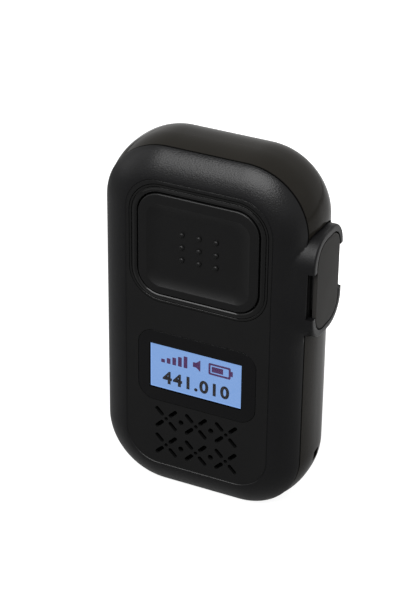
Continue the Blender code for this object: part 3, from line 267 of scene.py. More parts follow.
def tone_group() -> bpy.types.NodeTree:
    """Group that varies a colour in broad soft patches, about 11 mm across.

    Returns:
        The group, made on its first call. Its outputs are Color and Patch, from 0 to 1.
    """
    name = "tone"
    if name in bpy.data.node_groups:
        return bpy.data.node_groups[name]
    inputs = {"Color": "NodeSocketColor", "Shift": "NodeSocketFloat"}
    tree = group_tree(name, inputs, {"Color": "NodeSocketColor", "Patch": "NodeSocketFloat"})
    graph = Graph(tree)
    source = graph.node("NodeGroupInput").outputs
    noise = {"Vector": graph.place(), "Scale": 90.0, "Detail": 3.0}
    patch = graph.node("ShaderNodeTexNoise", noise).outputs[0]
    swing = graph.math("MULTIPLY", graph.math("SUBTRACT", patch, 0.5), source["Shift"])
    gain = graph.math("ADD", 1.0, graph.math("MULTIPLY", swing, 2.0))
    toned = graph.node("ShaderNodeVectorMath", {0: source["Color"], 1: gain}, operation="MULTIPLY")
    graph.node("NodeGroupOutput", {"Color": toned.outputs[0], "Patch": patch})
    return tree


@dataclass(frozen=True)
class Finish:
    """One surface finish: colour in linear light, gloss, and fine relief."""

    name: str
    slot: str
    colour: tuple[float, float, float]
    roughness: float
    metallic: float = 0.0
    specular: float = 0.5
    pattern: Pattern = Pattern.GRAIN
    pitch: float = 0.25 * MM
    relief: float = 0.01 * MM
    unevenness: float = 0.08
    shift: float = 0.15

    def material(self) -> bpy.types.Material:
        """Builds the material on its first call.

        Returns:
            The material.
        """
        if self.name in bpy.data.materials:
            return bpy.data.materials[self.name]
        made, graph = new_material(self.name)
        colour = {"Color": (*self.colour, 1.0), "Shift": self.shift}
        tone = graph.node("ShaderNodeGroup", colour, node_tree=tone_group())
        patch = graph.math("SUBTRACT", tone.outputs["Patch"], 0.5)
        swing = graph.math("MULTIPLY", patch, self.unevenness)
        height = graph.relief(self.pattern, self.pitch)
        bump = {"Height": height, "Distance": self.relief, "Strength": 1.0}
        graph.surface(
            {
                "Base Color": tone.outputs["Color"],
                "Roughness": graph.math("ADD", swing, self.roughness),
                "Metallic": self.metallic,
                "Specular IOR Level": self.specular,
                "Normal": graph.node("ShaderNodeBump", bump).outputs[0],
            }
        )
        return made


FRONT = Finish(
    "front_black", "shell_plastic", (0.0030, 0.0030, 0.0033), 0.30,
    specular=0.19, pitch=0.36 * MM, relief=0.05 * MM,
)
BOSS = replace(FRONT, name="boss_black", roughness=0.41, specular=0.16)
PANEL = Finish(
    "panel_black", "shell_plastic", (0.0048, 0.0048, 0.0049), 0.32, specular=0.15, relief=0.008 * MM
)
REAR = Finish(
    "rear_gloss", "rear_plastic", (0.013, 0.0118, 0.0098), 0.14,
    specular=0.05, pitch=1.5 * MM, relief=0.002 * MM,
)
BUTTON = Finish("button_black", "button_plastic", (0.0030, 0.0030, 0.0031), 0.34, specular=0.18)
RING = Finish(
    "ring_gloss", "bezel_plastic", (0.0030, 0.0030, 0.0030), 0.13,
    specular=0.21, pitch=1.0 * MM, relief=0.002 * MM,
)
COVER = Finish("cover_grey", "cover_rubber", (0.0155, 0.0148, 0.0137), 0.7, specular=0.2, relief=0.015 * MM)
# Near-black matte finish of the seam bead: painted shade for the shadowed gap between the shells
SEAM_SHADE = Finish("seam_black", "black_rubber", (0.0015, 0.0015, 0.0015), 0.9, specular=0.02)
RUBBER = Finish("seal_rubber", "black_rubber", (0.0105, 0.0105, 0.0105), 0.85, specular=0.1)
NYLON = Finish("clip_nylon", "black_nylon", (0.014, 0.014, 0.014), 0.45, relief=0.015 * MM)
CLOTH = Finish(
    "dust_mesh", "dust_cloth", (0.0012, 0.0012, 0.0012), 0.95,
    specular=0.05, pattern=Pattern.WEAVE, relief=0.08 * MM,
)
PAPER = Finish("cone_pulp", "cone_paper", (0.02, 0.02, 0.02), 0.9, pitch=0.6 * MM, relief=0.03 * MM)
FOAM = Finish(
    "foam", "foam", (0.03, 0.03, 0.03), 0.95, pattern=Pattern.CELLS, pitch=0.5 * MM, relief=0.1 * MM
)
FERRITE = Finish("ferrite", "ferrite", (0.06, 0.06, 0.065), 0.5, metallic=0.6)
BOARD = Finish(
    "solder_resist", "board_green", (0.01, 0.09, 0.045), 0.4, pattern=Pattern.WEAVE, pitch=0.8 * MM
)
TIN = Finish("tinned_steel", "tinned_steel", (0.6, 0.6, 0.6), 0.3, metallic=1.0, pattern=Pattern.BRUSHED)
STEEL = Finish("black_steel", "dark_steel", (0.09, 0.09, 0.095), 0.35, metallic=1.0, pattern=Pattern.BRUSHED)
GOLD = Finish("gold_plate", "gold_plate", (0.85, 0.62, 0.25), 0.22, metallic=1.0, relief=0.004 * MM)
WRAP = Finish("battery_wrap", "battery_wrap", (0.03, 0.06, 0.15), 0.35, pitch=2.0 * MM)
INK = Finish("display_ink", "lens_acrylic", (0.006, 0.005, 0.007), 0.6)
PLUM_INK = Finish("display_plum_ink", "lens_acrylic", (0.060, 0.020, 0.085), 0.6)


@dataclass
class Surface:
    """Points and faces of a mesh before Blender holds it."""

    points: Array
    faces: list[list[int]]

    @staticmethod
    def joined(parts: list[Surface]) -> Surface:
        """Puts several surfaces into one.

        Args:
            parts: The surfaces, which may be separate closed forms.

        Returns:
            One surface with all points and faces.
        """
        starts = np.cumsum([0] + [len(part.points) for part in parts])
        faces = []
        for part, start in zip(parts, starts):
            faces += [[index + start for index in face] for face in part.faces]
        return Surface(np.concatenate([part.points for part in parts]), faces)


def circle(radius: float, steps: int = 16) -> Array:
    """Outline of a circle about the origin, anticlockwise, as an array of pairs."""
    angle = np.linspace(0, math.tau, steps + 1)[:-1]
    return np.stack([np.cos(angle), np.sin(angle)], axis=-1) * radius


def rounded_outline(
    width: float, height: float, radius: float, per_corner: int = 16, per_side: int = 4
) -> Array:
    """Outline of a rectangle with round corners: four arcs, each followed by a straight side.

    Args:
        width: Full width along the first axis.
        height: Full height along the second axis.
        radius: Corner radius.
        per_corner: Steps along each arc.
        per_side: Points inside each straight side.

    Returns:
        Points, anticlockwise, as an array of pairs. The last side is the one at +width.
    """
    radius = max(radius, LEAST_RADIUS)
    signs = np.array([(1, 1), (-1, 1), (-1, -1), (1, -1)])
    centres = signs * (width / 2 - radius, height / 2 - radius)
    angles = np.linspace(0, QUARTER_TURN, per_corner + 1) + QUARTER_TURN * np.arange(4)[:, None]
    arcs = centres[:, None] + radius * np.stack([np.cos(angles), np.sin(angles)], axis=-1)
    start, end = arcs[:, -1:], np.roll(arcs[:, :1], -1, axis=0)
    share = np.linspace(0, 1, per_side + 2)[1:-1, None]
    sides = start + (end - start) * share
    return np.concatenate([arcs, sides], axis=1).reshape(-1, 2)


def drawn_in(
    size: tuple[float, float, float], inset: float, per_corner: int = FINE_CORNER, per_side: int = 4
) -> Array:
    """Outline of a rounded rectangle, moved in on all sides alike.

    Args:
        size: Its width, height and corner radius.
        inset: How far the outline is drawn in, or out if negative.
        per_corner: Steps along each arc.
        per_side: Points inside each straight side.

    Returns:
        Points, anticlockwise, as an array of pairs.
    """
    width, height, corner = size
    return rounded_outline(width - 2 * inset, height - 2 * inset, corner - inset, per_corner, per_side)


def quarter(radius_u: float, radius_v: float, steps: int) -> Array:
    """Quarter ellipse from (0, radius_v) back to (radius_u, 0) measured from its outer corner.

    Args:
        radius_u: How far the edge is drawn in.
        radius_v: How far it drops.
        steps: Number of steps.

    Returns:
        Pairs (drawn in, dropped), from the side wall to the top.
    """
    angle = np.linspace(0, QUARTER_TURN, steps + 1)
    return np.stack([radius_u * (1 - np.cos(angle)), radius_v * (1 - np.sin(angle))], axis=-1)


def ease(value: Array, low: float, high: float) -> Array:
    """Smooth step 3 s^2 - 2 s^3 from 0 at low to 1 at high."""
    share = np.clip((value - low) / (high - low), 0, 1)
    return share * share * (3 - 2 * share)


def box_distance(points: Array, half: tuple[float, float], radius: float) -> Array:
    """Signed distance of flat points from a rounded rectangle about the origin.

    Args:
        points: Pairs.
        half: Half of its width and of its height.
        radius: Its corner radius.

    Returns:
        One distance for each point, negative inside.
    """
    beyond = np.abs(points) - (np.array(half) - radius)
    outside = np.linalg.norm(np.maximum(beyond, 0), axis=1)
    return outside + np.minimum(beyond.max(axis=1), 0) - radius


def gradient(level: Callable[[Array], Array], points: Array, step: float = 0.01 * MM) -> Array:
    """Central differences of a function of points, along X, Y and Z."""
    offsets = np.eye(3) * step
    return np.stack([(level(points + d) - level(points - d)) / (2 * step) for d in offsets], axis=1)


def stacked(outlines: list[Array], places: Array | list[Array], axis: Axis = Axis.Y) -> Array:
    """Puts flat outlines at places along an axis, as the rings of a skin.

    Args:
        outlines: One outline for each ring, all with as many points.
        places: Where each ring lies along the axis, or where each of its points does.
        axis: Y for outlines of (X, Z) pairs, and X for outlines of (Y, Z) pairs.

    Returns:
        Rings by columns by XYZ.
    """
    flat = np.stack(outlines)
    along = np.broadcast_to(np.reshape(places, (len(flat), -1)), flat.shape[:2])
    return np.insert(flat, axis.number, along, axis=-1)


def skin(rings: Array, loop: bool = False) -> Surface:
    """Covers a grid of closed rings with quads.

    Args:
        rings: Points as an array of rings by columns by XYZ.
        loop: Whether the last ring joins the first, as on a torus. Otherwise both ends are capped.

    Returns:
        A closed surface.
    """
    rows, columns = rings.shape[:2]
    index = np.arange(rows * columns).reshape(rows, columns)
    below = index if loop else index[:-1]
    above = np.roll(index, -1, axis=0) if loop else index[1:]
    quads = np.stack([below, np.roll(below, -1, 1), np.roll(above, -1, 1), above], axis=-1)
    faces = quads.reshape(-1, 4).tolist()
    if not loop:
        faces += [index[0][::-1].tolist(), index[-1].tolist()]
    return Surface(rings.reshape(-1, 3), faces)


def box_of(node: str) -> tuple[Array, Array, Array]:
    """Low corner, high corner and middle of a solid's box."""
    low, high = (np.array(corner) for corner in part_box(node))
    return low, high, (low + high) / 2


def nodes_with(word: str) -> list[str]:
    """Names of the objects that hold a word, in order."""
    return [name for name in bpy.data.objects.keys() if word in name]


def smooth(mesh: bpy.types.Mesh, sharp: float) -> None:
    """Shades a mesh smooth between edges sharper than an angle in degrees."""
    mesh.shade_smooth()
    mesh.set_sharp_from_angle(angle=math.radians(sharp))


def add_object(name: str, data: bpy.types.ID) -> bpy.types.Object:
    """Puts a mesh, a curve, a lamp or a camera into the scene, at the origin.

    Args:
        name: Name of the object.
        data: What the object holds.

    Returns:
        The object.
    """
    obj = bpy.data.objects.new(name, data)
    bpy.context.scene.collection.objects.link(obj)
    return obj


def solid(name: str, surface: Surface, sharp: float = SHARP) -> bpy.types.Object:
    """Makes a piece that faces outwards, smooth apart from its sharp edges.

    Args:
        name: Name of the piece and of its mesh.
        surface: Its points and faces.
        sharp: Least angle in degrees of an edge that stays sharp.

    Returns:
        The piece.
    """
    mesh = bpy.data.meshes.new(name)
    mesh.from_pydata(surface.points.tolist(), [], surface.faces)
    mesh.calc_loop_triangles()
    corners = np.empty(len(mesh.loop_triangles) * 3, np.int32)
    mesh.loop_triangles.foreach_get("vertices", corners)
    if np.linalg.det(surface.points[corners.reshape(-1, 3)]).sum() < 0:
        mesh.flip_normals()
    smooth(mesh, sharp)
    return add_object(name, mesh)


def settle(
    obj: bpy.types.Object, finish: Finish, body: str | None = ROOT_BODY, nodes: tuple[str, ...] = ()
) -> bpy.types.Object:
    """Gives a piece its finish, the body that it moves with and the solids that it stands for.

    Args:
        obj: The finished piece.
        finish: Its finish.
        body: Body that carries it, or None to leave it without one.
        nodes: Solids that it replaces.

    Returns:
        The same piece.
    """
    obj.data.materials.clear()
    obj.data.materials.append(finish.material())
    if body:
        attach(obj, body)
    if nodes:
        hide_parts(*nodes)
    LOG.info("%s: %d faces", obj.name, len(obj.data.polygons))
    return obj


def flat_plate(
    name: str, outlines: list[Array], low: float, high: float, axis: Axis = Axis.Y
) -> bpy.types.Object:
    """A flat sheet with holes, as a filled flat curve made into a mesh.

    Args:
        name: Name of the object.
        outlines: Outer outline, then one outline for each hole. Pairs are (X, Z) along Y, (Y, Z) along X
            and (X, Y) along Z.
        low: Lower place along the axis.
        high: Upper place along the axis.
        axis: Axis that the sheet's thickness runs along.

    Returns:
        The object, with its place in its mesh.
    """
    curve = bpy.data.curves.new(name, "CURVE")
    curve.dimensions, curve.fill_mode, curve.extrude = "2D", "BOTH", (high - low) / 2 / MM
    for outline in outlines:
        spline = curve.splines.new("POLY")
        spline.points.add(len(outline) - 1)
        padded = np.column_stack([outline / MM, np.zeros(len(outline)), np.ones(len(outline))])
        spline.points.foreach_set("co", padded.ravel())
        spline.use_cyclic_u = True
    mesh = curve_mesh(curve)
    place = Vector((0, 0, 0))
    place[axis.number] = (low + high) / 2
    mesh.transform(axis.stand(place))
    smooth(mesh, CUT_SHARP)
    return add_object(name, mesh)


def curve_mesh(curve: bpy.types.Curve) -> bpy.types.Mesh:
    """Makes a mesh in metres from a flat curve or text that was drawn in millimetres, for a clean fill.

    Args:
        curve: The curve, extruded along its Z.

    Returns:
        A welded mesh that faces outwards.
    """
    guide = add_object(curve.name + "_guide", curve)
    graph = bpy.context.evaluated_depsgraph_get()
    mesh = bpy.data.meshes.new_from_object(guide.evaluated_get(graph))
    bpy.data.objects.remove(guide)
    weld(mesh)
    mesh.transform(Matrix.Scale(MM, 4))
    return mesh


def weld(mesh: bpy.types.Mesh) -> None:
    """Merges the points of a curve's mesh that lie on each other, and turns its faces outwards.

    Args:
        mesh: The mesh, still in millimetres.
    """
    shape = bmesh.new()
    shape.from_mesh(mesh)
    bmesh.ops.remove_doubles(shape, verts=shape.verts, dist=CURVE_MERGE)
    bmesh.ops.recalc_face_normals(shape, faces=shape.faces)
    if shape.calc_volume(signed=True) < 0:
        bmesh.ops.reverse_faces(shape, faces=shape.faces)
    shape.to_mesh(mesh)
    shape.free()


def carve(obj: bpy.types.Object, cutters: list[bpy.types.Object], sharp: float = CUT_SHARP) -> None:
    """Cuts openings into a piece, and removes the cutters.

    Args:
        obj: The piece, whose mesh is replaced.
        cutters: Closed shapes to take away.
        sharp: Angle in degrees above which an edge stays sharp.
    """
    for cutter in cutters:
        tool = obj.modifiers.new(cutter.name, "BOOLEAN")
        tool.operation, tool.solver, tool.object = "DIFFERENCE", "MANIFOLD", cutter
    graph = bpy.context.evaluated_depsgraph_get()
    mesh = bpy.data.meshes.new_from_object(obj.evaluated_get(graph))
    obj.modifiers.clear()
    obj.data = mesh
    smooth(mesh, sharp)
    for cutter in cutters:
        bpy.data.objects.remove(cutter)


def softened(node: str, width: float, finish: Finish, body: str = ROOT_BODY) -> bpy.types.Object:
    """Copies a solid with its sharp edges rounded, in place of the solid.

    Args:
        node: Solid to copy.
        width: Width of the rounded edges.
        finish: Finish of the copy.
        body: Body that carries it.

    Returns:
        The new piece.
    """
    mesh = bpy.data.objects[node].data.copy()
    mesh.name = node + "_rounded"
    flat, sharp = math.radians(2), math.radians(SHARP)
    shape = bmesh.new()
    shape.from_mesh(mesh)
    bmesh.ops.remove_doubles(shape, verts=shape.verts, dist=SOLID_MERGE)
    bmesh.ops.dissolve_limit(shape, angle_limit=flat, verts=shape.verts, edges=shape.edges)
    edges = [edge for edge in shape.edges if edge.calc_face_angle(0) > sharp]
    bmesh.ops.bevel(
        shape, geom=edges, offset=width, segments=2, profile=0.6, affect="EDGES", clamp_overlap=True
    )
    bmesh.ops.triangulate(shape, faces=[face for face in shape.faces if len(face.verts) > 4])
    shape.to_mesh(mesh)
    shape.free()
    smooth(mesh, SHARP)
    return settle(add_object(node + "_rounded", mesh), finish, body, (node,))


@dataclass(frozen=True)
class CaseForm:
    """Outline, crown and barrelled side that the two shells share."""

    width: float = 54.8 * MM
    height: float = 97.4 * MM
    corner: float = 16.6 * MM
    low_z: float = 0.15 * MM
    face_y: float = -11.0 * MM
    back_y: float = 11.0 * MM
    seam_y: float = -6.8 * MM
    rim_y: float = -6.05 * MM
    crown_inset: float = 7.25 * MM
    crown_power: float = 1.45
    crown_lead: float = 0.6 * MM
    side_bulge: float = 1.1 * MM
    widest_y: float = 0.3 * MM
    rear_power: float = 2.45
    rear_edge: float = 4.4 * MM
    wall: float = 1.8 * MM
    panel_wall: float = 1.6 * MM
    cavity_inset: float = 5.0 * MM
    gap: float = 0.3 * MM
    per_corner: int = 24
    per_side: int = 64
    swell_steps: int = 12
    rear_steps: int = 32

    @property
    def centre_z(self) -> float:
        """Height of the outline's middle."""
        return self.low_z + self.height / 2

    @property
    def crown_depth(self) -> float:
        """Depth from the seam to the panel."""
        return self.seam_y - self.face_y

    @property
    def lead_share(self) -> float:
        """Share of the whole curve's depth that lies in the lead behind the seam."""
        return self.crown_lead / (self.crown_depth + self.crown_lead)

    @property
    def lead_inset(self) -> float:
        """Share of the whole curve's inset that lies in the lead behind the seam."""
        return 1 - (1 - self.lead_share**self.crown_power) ** (1 / self.crown_power)

    def outline(self, inset: float) -> Array:
        """Case outline drawn in by an inset, as (X, Z) pairs."""
        size = (self.width, self.height, self.corner)
        return drawn_in(size, inset, self.per_corner, self.per_side) + (0, self.centre_z)

    def rings(self, profile: Array) -> Array:
        """Carries a profile of (inset, Y) pairs round the case outline, as rings by columns by XYZ."""
        return stacked([self.outline(inset) for inset in profile[:, 0]], profile[:, 1])

    def barrel(self) -> Array:
        """Rear shell's side from the rim to the flat back, without a kink.

        It swells by bulge (1 - (1 - s)^2) as far as the widest place, and turns in from there along a quarter
        of a superellipse: inset = a (1 - cos^(2/k)) - bulge, back = b sin^(2/k).

        Returns:
            Pairs (inset, Y).
        """
        share = np.linspace(0, 1, self.swell_steps + 1)
        swell = -self.side_bulge * (1 - (1 - share) ** 2)
        front = np.stack([swell, self.rim_y + (self.widest_y - self.rim_y) * share], axis=-1)
        angle = np.linspace(0, QUARTER_TURN, self.rear_steps + 1)[1:]
        power = 2 / self.rear_power
        turned = 1 - np.clip(np.cos(angle), 0, 1) ** power
        inset = (self.side_bulge + self.rear_edge) * turned - self.side_bulge
        back = self.widest_y + (self.back_y - self.widest_y) * np.sin(angle) ** power
        return np.concatenate([front, np.stack([inset, back], axis=-1)])

    def crown(self, inset_to: float, depth: float, steps: int) -> Array:
        """Crowned edge: a quarter of a superellipse that starts a little behind the seam.

        For t from 0 to a quarter turn the whole curve is inset = 1 - cos^(2/k), forward = sin^(2/k).
        Its lead is left out, so that the edge leaves the seam at an angle, and the rest is fitted to size.

        Args:
            inset_to: Inset where the crown turns flat.
            depth: Depth of the crown.
            steps: Number of steps.

        Returns:
            Pairs (inset, Y), from the seam to the flat.
        """
        power = 2 / self.crown_power
        lead = self.lead_share
        angle = np.linspace(math.asin(lead ** (1 / power)), QUARTER_TURN, steps + 1)
        inset = (1 - np.clip(np.cos(angle), 0, 1) ** power - self.lead_inset) / (1 - self.lead_inset)
        forward = (np.sin(angle) ** power - lead) / (1 - lead)
        return np.stack([inset_to * inset, self.seam_y - depth * forward], axis=-1)

    def crown_level(self, points: Array) -> Array:
        """Crown as (1 - e)^k + d^k - 1, which is negative inside.

        Here e is the share of the inset and d the share of the depth, counted from the start of the lead.

        Args:
            points: Points by XYZ.

        Returns:
            One value for each point.
        """
        half = (self.width / 2, self.height / 2)
        inside = -box_distance(points[:, [0, 2]] - (0, self.centre_z), half, self.corner)
        across = np.clip((1 - inside / self.crown_inset) * (1 - self.lead_inset), 0, None)
        ahead = self.seam_y - points[:, 1] + self.crown_lead
        forward = np.clip(ahead / (self.crown_depth + self.crown_lead), 0, None)
        return across**self.crown_power + forward**self.crown_power - 1

    def crown_distance(self, points: Array) -> Array:
        """First-order distance of points from the crown, negative inside: its level over its slope.

        Args:
            points: Points by XYZ.

        Returns:
            One distance for each point.
        """
        least_slope = 1.0
        slope = np.linalg.norm(gradient(self.crown_level, points), axis=1)
        return self.crown_level(points) / np.maximum(slope, least_slope)


@dataclass(frozen=True)
class PortForm:
    """Boss of the accessory port: a rounded rectangle that stands out of the right side."""

    case: CaseForm
    depth: float = 18.3 * MM
    height: float = 28.3 * MM
    corner: float = 7.2 * MM
    middle_y: float = -0.1 * MM
    drop: float = 30.35 * MM
    end_x: float = 30.45 * MM
    edge: float = 0.6 * MM
    brim: float = 0.12 * MM
    wall: float = 1.85 * MM
    floor_x: float = 27.4 * MM
    inner_x: float = 25.5 * MM
    root_x: float = 23.6 * MM
    least_x: float = 10.0 * MM
    front_notch: tuple[float, float] = (-6.9 * MM, 5.7 * MM)
    rear_notch: tuple[float, float] = (-5.7 * MM, 6.8 * MM)
    notch_x: float = 28.65 * MM
    notch_wall: float = 0.6 * MM
    notch_slope: float = 0.5 * MM
    notch_edge: float = 0.15 * MM
    hole_depth: float = 9.0 * MM
    hole_height: float = 15.0 * MM
    hole_corner: float = 1.3 * MM
    # Reach of the fillet between crown and boss, its share that is left above, and where it grows to full
    blend: float = 3.0 * MM
    blend_above: float = 0.15
    blend_from: float = 9.0 * MM
    blend_full: float = -3.0 * MM
    # Points deep inside the other form stay in place, and those outside it sink a little
    hidden_from: float = -1.4 * MM
    hidden_to: float = -0.5 * MM
    sink: float = 0.03 * MM
    sink_end: float = 0.3 * MM
    fillet_rounds: int = 8
    least_slope: float = 0.2

    @property
    def size(self) -> tuple[float, float, float]:
        """Depth, height and corner of the boss."""
        return self.depth, self.height, self.corner

    @property
    def middle_z(self) -> float:
        """Height of the boss's middle."""
        return self.case.low_z + self.case.height - self.drop

    def distance(self, points: Array) -> Array:
        """Distance of points from the boss's side walls.

        Args:
            points: Points by XYZ.

        Returns:
            One distance for each point, negative inside.
        """
        flat = points[:, 1:] - (self.middle_y, self.middle_z)
        walls = box_distance(flat, (self.depth / 2, self.height / 2), self.corner)
        return np.maximum(walls, self.least_x - points[:, 0])

    def joined(self, points: Array) -> Array:
        """Distance from crown and boss with a fillet between them, soft in front and below, crisp above.

        It is the smaller of the two, less a quarter of the fillet times the square of how far
        inside the fillet's reach the point lies.

        Args:
            points: Points by XYZ.

        Returns:
            One distance for each point, negative inside.
        """
        crown, boss = self.case.crown_distance(points), self.distance(points)
        below = ease(points[:, 2] - self.middle_z, self.blend_from, self.blend_full)
        reach = self.blend * (self.blend_above + (1 - self.blend_above) * below)
        share = np.clip(1 - np.abs(crown - boss) / reach, 0, 1)
        return np.minimum(crown, boss) - share**2 * reach / 4

    def fillet(self, points: Array, hidden: Array) -> Array:
        """Moves points onto the filleted form, and leaves those that the other form hides.

        Args:
            points: Points by XYZ on the crown or on the boss.
            hidden: Each point's distance from the other form, negative inside it.

        Returns:
            The moved points.
        """
        weight = ease(hidden, self.hidden_from, self.hidden_to)
        sink = -self.sink * ease(-hidden, self.hidden_to, self.sink_end)
        moved = points.copy()
        for _ in range(self.fillet_rounds):
            slope = gradient(self.joined, moved)
            size = np.maximum((slope**2).sum(axis=1), self.least_slope)
            moved -= (weight * (self.joined(moved) - sink) / size)[:, None] * slope
        return moved


@dataclass
class FrontShell:
    """Front half of the case: crowned rim, flat panel with its openings, and the port's boss."""

    case: CaseForm
    port: PortForm
    groove: float = 0.15 * MM
    # Pairs (inset, depth) of the groove round the panel, and the inset of the panel's edge, in groove widths
    groove_shape: tuple[tuple[float, float], ...] = (
        (0.75, 0.8),
        (1.2, 1.0),
        (1.65, 0.8),
        (2.4, 0.0),
        (2.5, 0.6),
    )
    panel_edge: float = 1.7
    panel_step: float = 0.02 * MM
    panel_plate: float = 0.8 * MM
    crown_steps: int = 34
    inner_steps: int = 7
    ring_gap: float = 0.18 * MM
    ring_steps: int = 24
    window_gap: float = 0.12 * MM
    # Growth past the window and corner of each of its seat's outlines, and the seat's depths, in gaps
    seat_outer: tuple[float, float] = (2.0 * MM, 4.0 * MM)
    seat_inner: tuple[float, float] = (-6.0 * MM, 1.0 * MM)
    seat_depth: tuple[float, float] = (1.0, 2.5)
    seam_gap: float = 0.02 * MM
    # Insets of the seam bead's face, of the edges beside it and of its root; the bead is a dark sheet of
    # painted shade in the seam
    seam_insets: tuple[float, float, float] = (0.07 * MM, 0.12 * MM, 1.4 * MM)
    slot_length: float = 3.1 * MM
    slot_width: float = 1.08 * MM
    slot_reach: float = 4.25 * MM
    hub_radius: float = 0.52 * MM
    dot_radius: float = 0.75 * MM
    pitch_x: float = 8.55 * MM
    pitch_z: float = 8.15 * MM
    grille_rise: float = 17.57 * MM
    columns: int = 3
    rows: int = 2
    sound_place: tuple[float, float] = (-8.0 * MM, -7.45 * MM)
    sound_radius: float = 0.4 * MM
    sound_reach: tuple[float, float] = (-2.0 * MM, 6.0 * MM)
    boss_rows: int = 26
    boss_corner: int = 16
    boss_side: int = 24
    boss_end_steps: int = 7
    boss_brim_steps: int = 4
    # Half the distance between the two columns at each end of a notch
    hair: float = 0.02 * MM
    fillet_end: tuple[float, float] = (-0.2 * MM, 0.6 * MM)
    fillet_sink: float = 20.0 * MM

    def build(self) -> None:
        """Makes the rim, the panel, the window's seat, the boss, and the near-black bead of painted shade in
        the seam.
        """
        self.build_rim()
        self.build_panel()
        self.build_seat()
        settle(solid("port_boss", self.boss_surface()), BOSS)
        self.build_shade_bead()

    def build_rim(self) -> None:
        """Makes the crowned rim, with the sound hole in its underside."""
        rim = solid("front_rim", self.rim_surface(), CASE_SHARP)
        hole = circle(self.sound_radius) + self.sound_place
        carve(rim, [flat_plate("sound_hole", [hole], *self.sound_reach, Axis.Z)], CASE_SHARP)
        settle(rim, FRONT, nodes=("front_shell",))

    def build_panel(self) -> None:
        """Makes the flat panel with all its openings."""
        case = self.case
        outer = case.outline(case.crown_inset + self.panel_edge * self.groove)
        outlines = [outer, self.ptt_opening(), self.lens_opening(), *self.grille_openings()]
        front, back = case.face_y + self.panel_step, case.face_y + self.panel_plate
        settle(flat_plate("front_panel", outlines, front, back), PANEL)

    def build_seat(self) -> None:
        """Makes the frame behind the window that carries its edge."""
        low, high, middle = box_of("display_lens")
        outlines = []
        for grow, corner in (self.seat_outer, self.seat_inner):
            size = high - low + grow
            outlines.append(rounded_outline(size[0], size[2], corner) + middle[[0, 2]])
        front, back = (high[1] + depth * self.case.gap for depth in self.seat_depth)
        settle(flat_plate("window_seat", outlines, front, back), FRONT)

    def build_shade_bead(self) -> None:
        """Makes the near-black matte bead in the seam, which stands back a little from both shells: painted
        shade that makes the seam read as a shadowed gap.
        """
        front, back = self.case.seam_y + self.seam_gap, self.case.rim_y - self.seam_gap
        shown, edge, root = self.seam_insets
        profile = [(edge, front), (shown, front), (shown, back), (edge, back), (root, back), (root, front)]
        settle(solid("seam_seal", skin(self.case.rings(np.array(profile)), loop=True)), SEAM_SHADE)

    def rim_surface(self) -> Surface:
        """Crowned rim as one profile carried round the outline, filleted into the boss.

        Returns:
            A closed ring.
        """
        case = self.case
        outer = case.crown(case.crown_inset, case.crown_depth, self.crown_steps)
        edge = np.array(self.groove_shape) * self.groove + (case.crown_inset, case.face_y)
        inner_y = case.face_y + case.panel_wall
        inner = case.crown(case.cavity_inset - case.wall, case.seam_y - inner_y, self.inner_steps)
        profile = np.concatenate([outer, edge, [(edge[-1, 0], inner_y)], inner[::-1] + (case.wall, 0)])
        rings = case.rings(profile)
        shown = slice(1, len(outer))
        crown = rings[shown].reshape(-1, 3)
        rings[shown] = self.port.fillet(crown, self.port.distance(crown)).reshape(rings[shown].shape)
        return skin(rings, loop=True)

    def boss_surface(self) -> Surface:
        """Boss and well: outer wall, rounded end, well wall, floor and connector hole, in one ring.

        Each column's profile is the same apart from the two notches, where the end lies lower and slopes in.

        Returns:
            A closed ring.
        """
        port, outline = self.port, self.boss_outline
        notch = self.notched(outline(0))
        wall = np.where(notch, port.notch_wall, port.wall)
        top = np.where(notch, port.notch_x, port.end_x)
        edge = np.where(notch, port.notch_edge, port.edge)
        inner = np.where(notch, port.notch_x - port.notch_slope, port.end_x)
        brim, bend = port.brim, 0.3 * port.brim
        rise = np.linspace(0, 1, self.boss_rows)
        rows = [(outline(0), port.root_x + (top - edge - port.root_x) * share) for share in rise]
        end, lip = quarter(1, 1, self.boss_end_steps)[1:], quarter(1, 1, self.boss_brim_steps)[::-1]
        rows += [(outline(drawn * edge), top - dropped * edge) for drawn, dropped in end]
        rows += [(outline(wall - drawn * brim), inner - dropped * brim) for drawn, dropped in lip]
        foot = ((0, brim), (bend, bend), (brim, 0))
        rows += [(outline(wall + inset), port.floor_x + up) for inset, up in foot]
        hole = rounded_outline(
            port.hole_depth, port.hole_height, port.hole_corner, self.boss_corner, self.boss_side
        )
        rows += [(hole, port.floor_x), (hole, port.inner_x), (outline(port.wall), port.inner_x)]
        flat = [pairs + (port.middle_y, port.middle_z) for pairs, _ in rows]
        rings = stacked(flat, [np.broadcast_to(x, len(notch)) for _, x in rows], Axis.X)
        walls = rings[: self.boss_rows].reshape(-1, 3)
        # Behind the seam the points count as hidden, so that the fillet ends there
        start, stop = (port.case.seam_y + reach for reach in self.fillet_end)
        hidden = port.case.crown_distance(walls) - self.fillet_sink * ease(walls[:, 1], start, stop)
        rings[: self.boss_rows] = port.fillet(walls, hidden).reshape(self.boss_rows, -1, 3)
        return skin(rings, loop=True)

    def notched(self, flat: Array) -> Array:
        """Which columns of the boss outline lie in a notch.

        Args:
            flat: Outline as (Y, Z) pairs about the boss's middle.

        Returns:
            True or False for each column.
        """
        port = self.port
        (front_low, front_high), (rear_low, rear_high) = port.front_notch, port.rear_notch
        across, up = flat[:, 0], flat[:, 1]
        face = port.depth / 2 - self.hair / 2
        front = (across < -face) & (up > front_low) & (up < front_high)
        return front | (across > face) & (up > rear_low) & (up < rear_high)

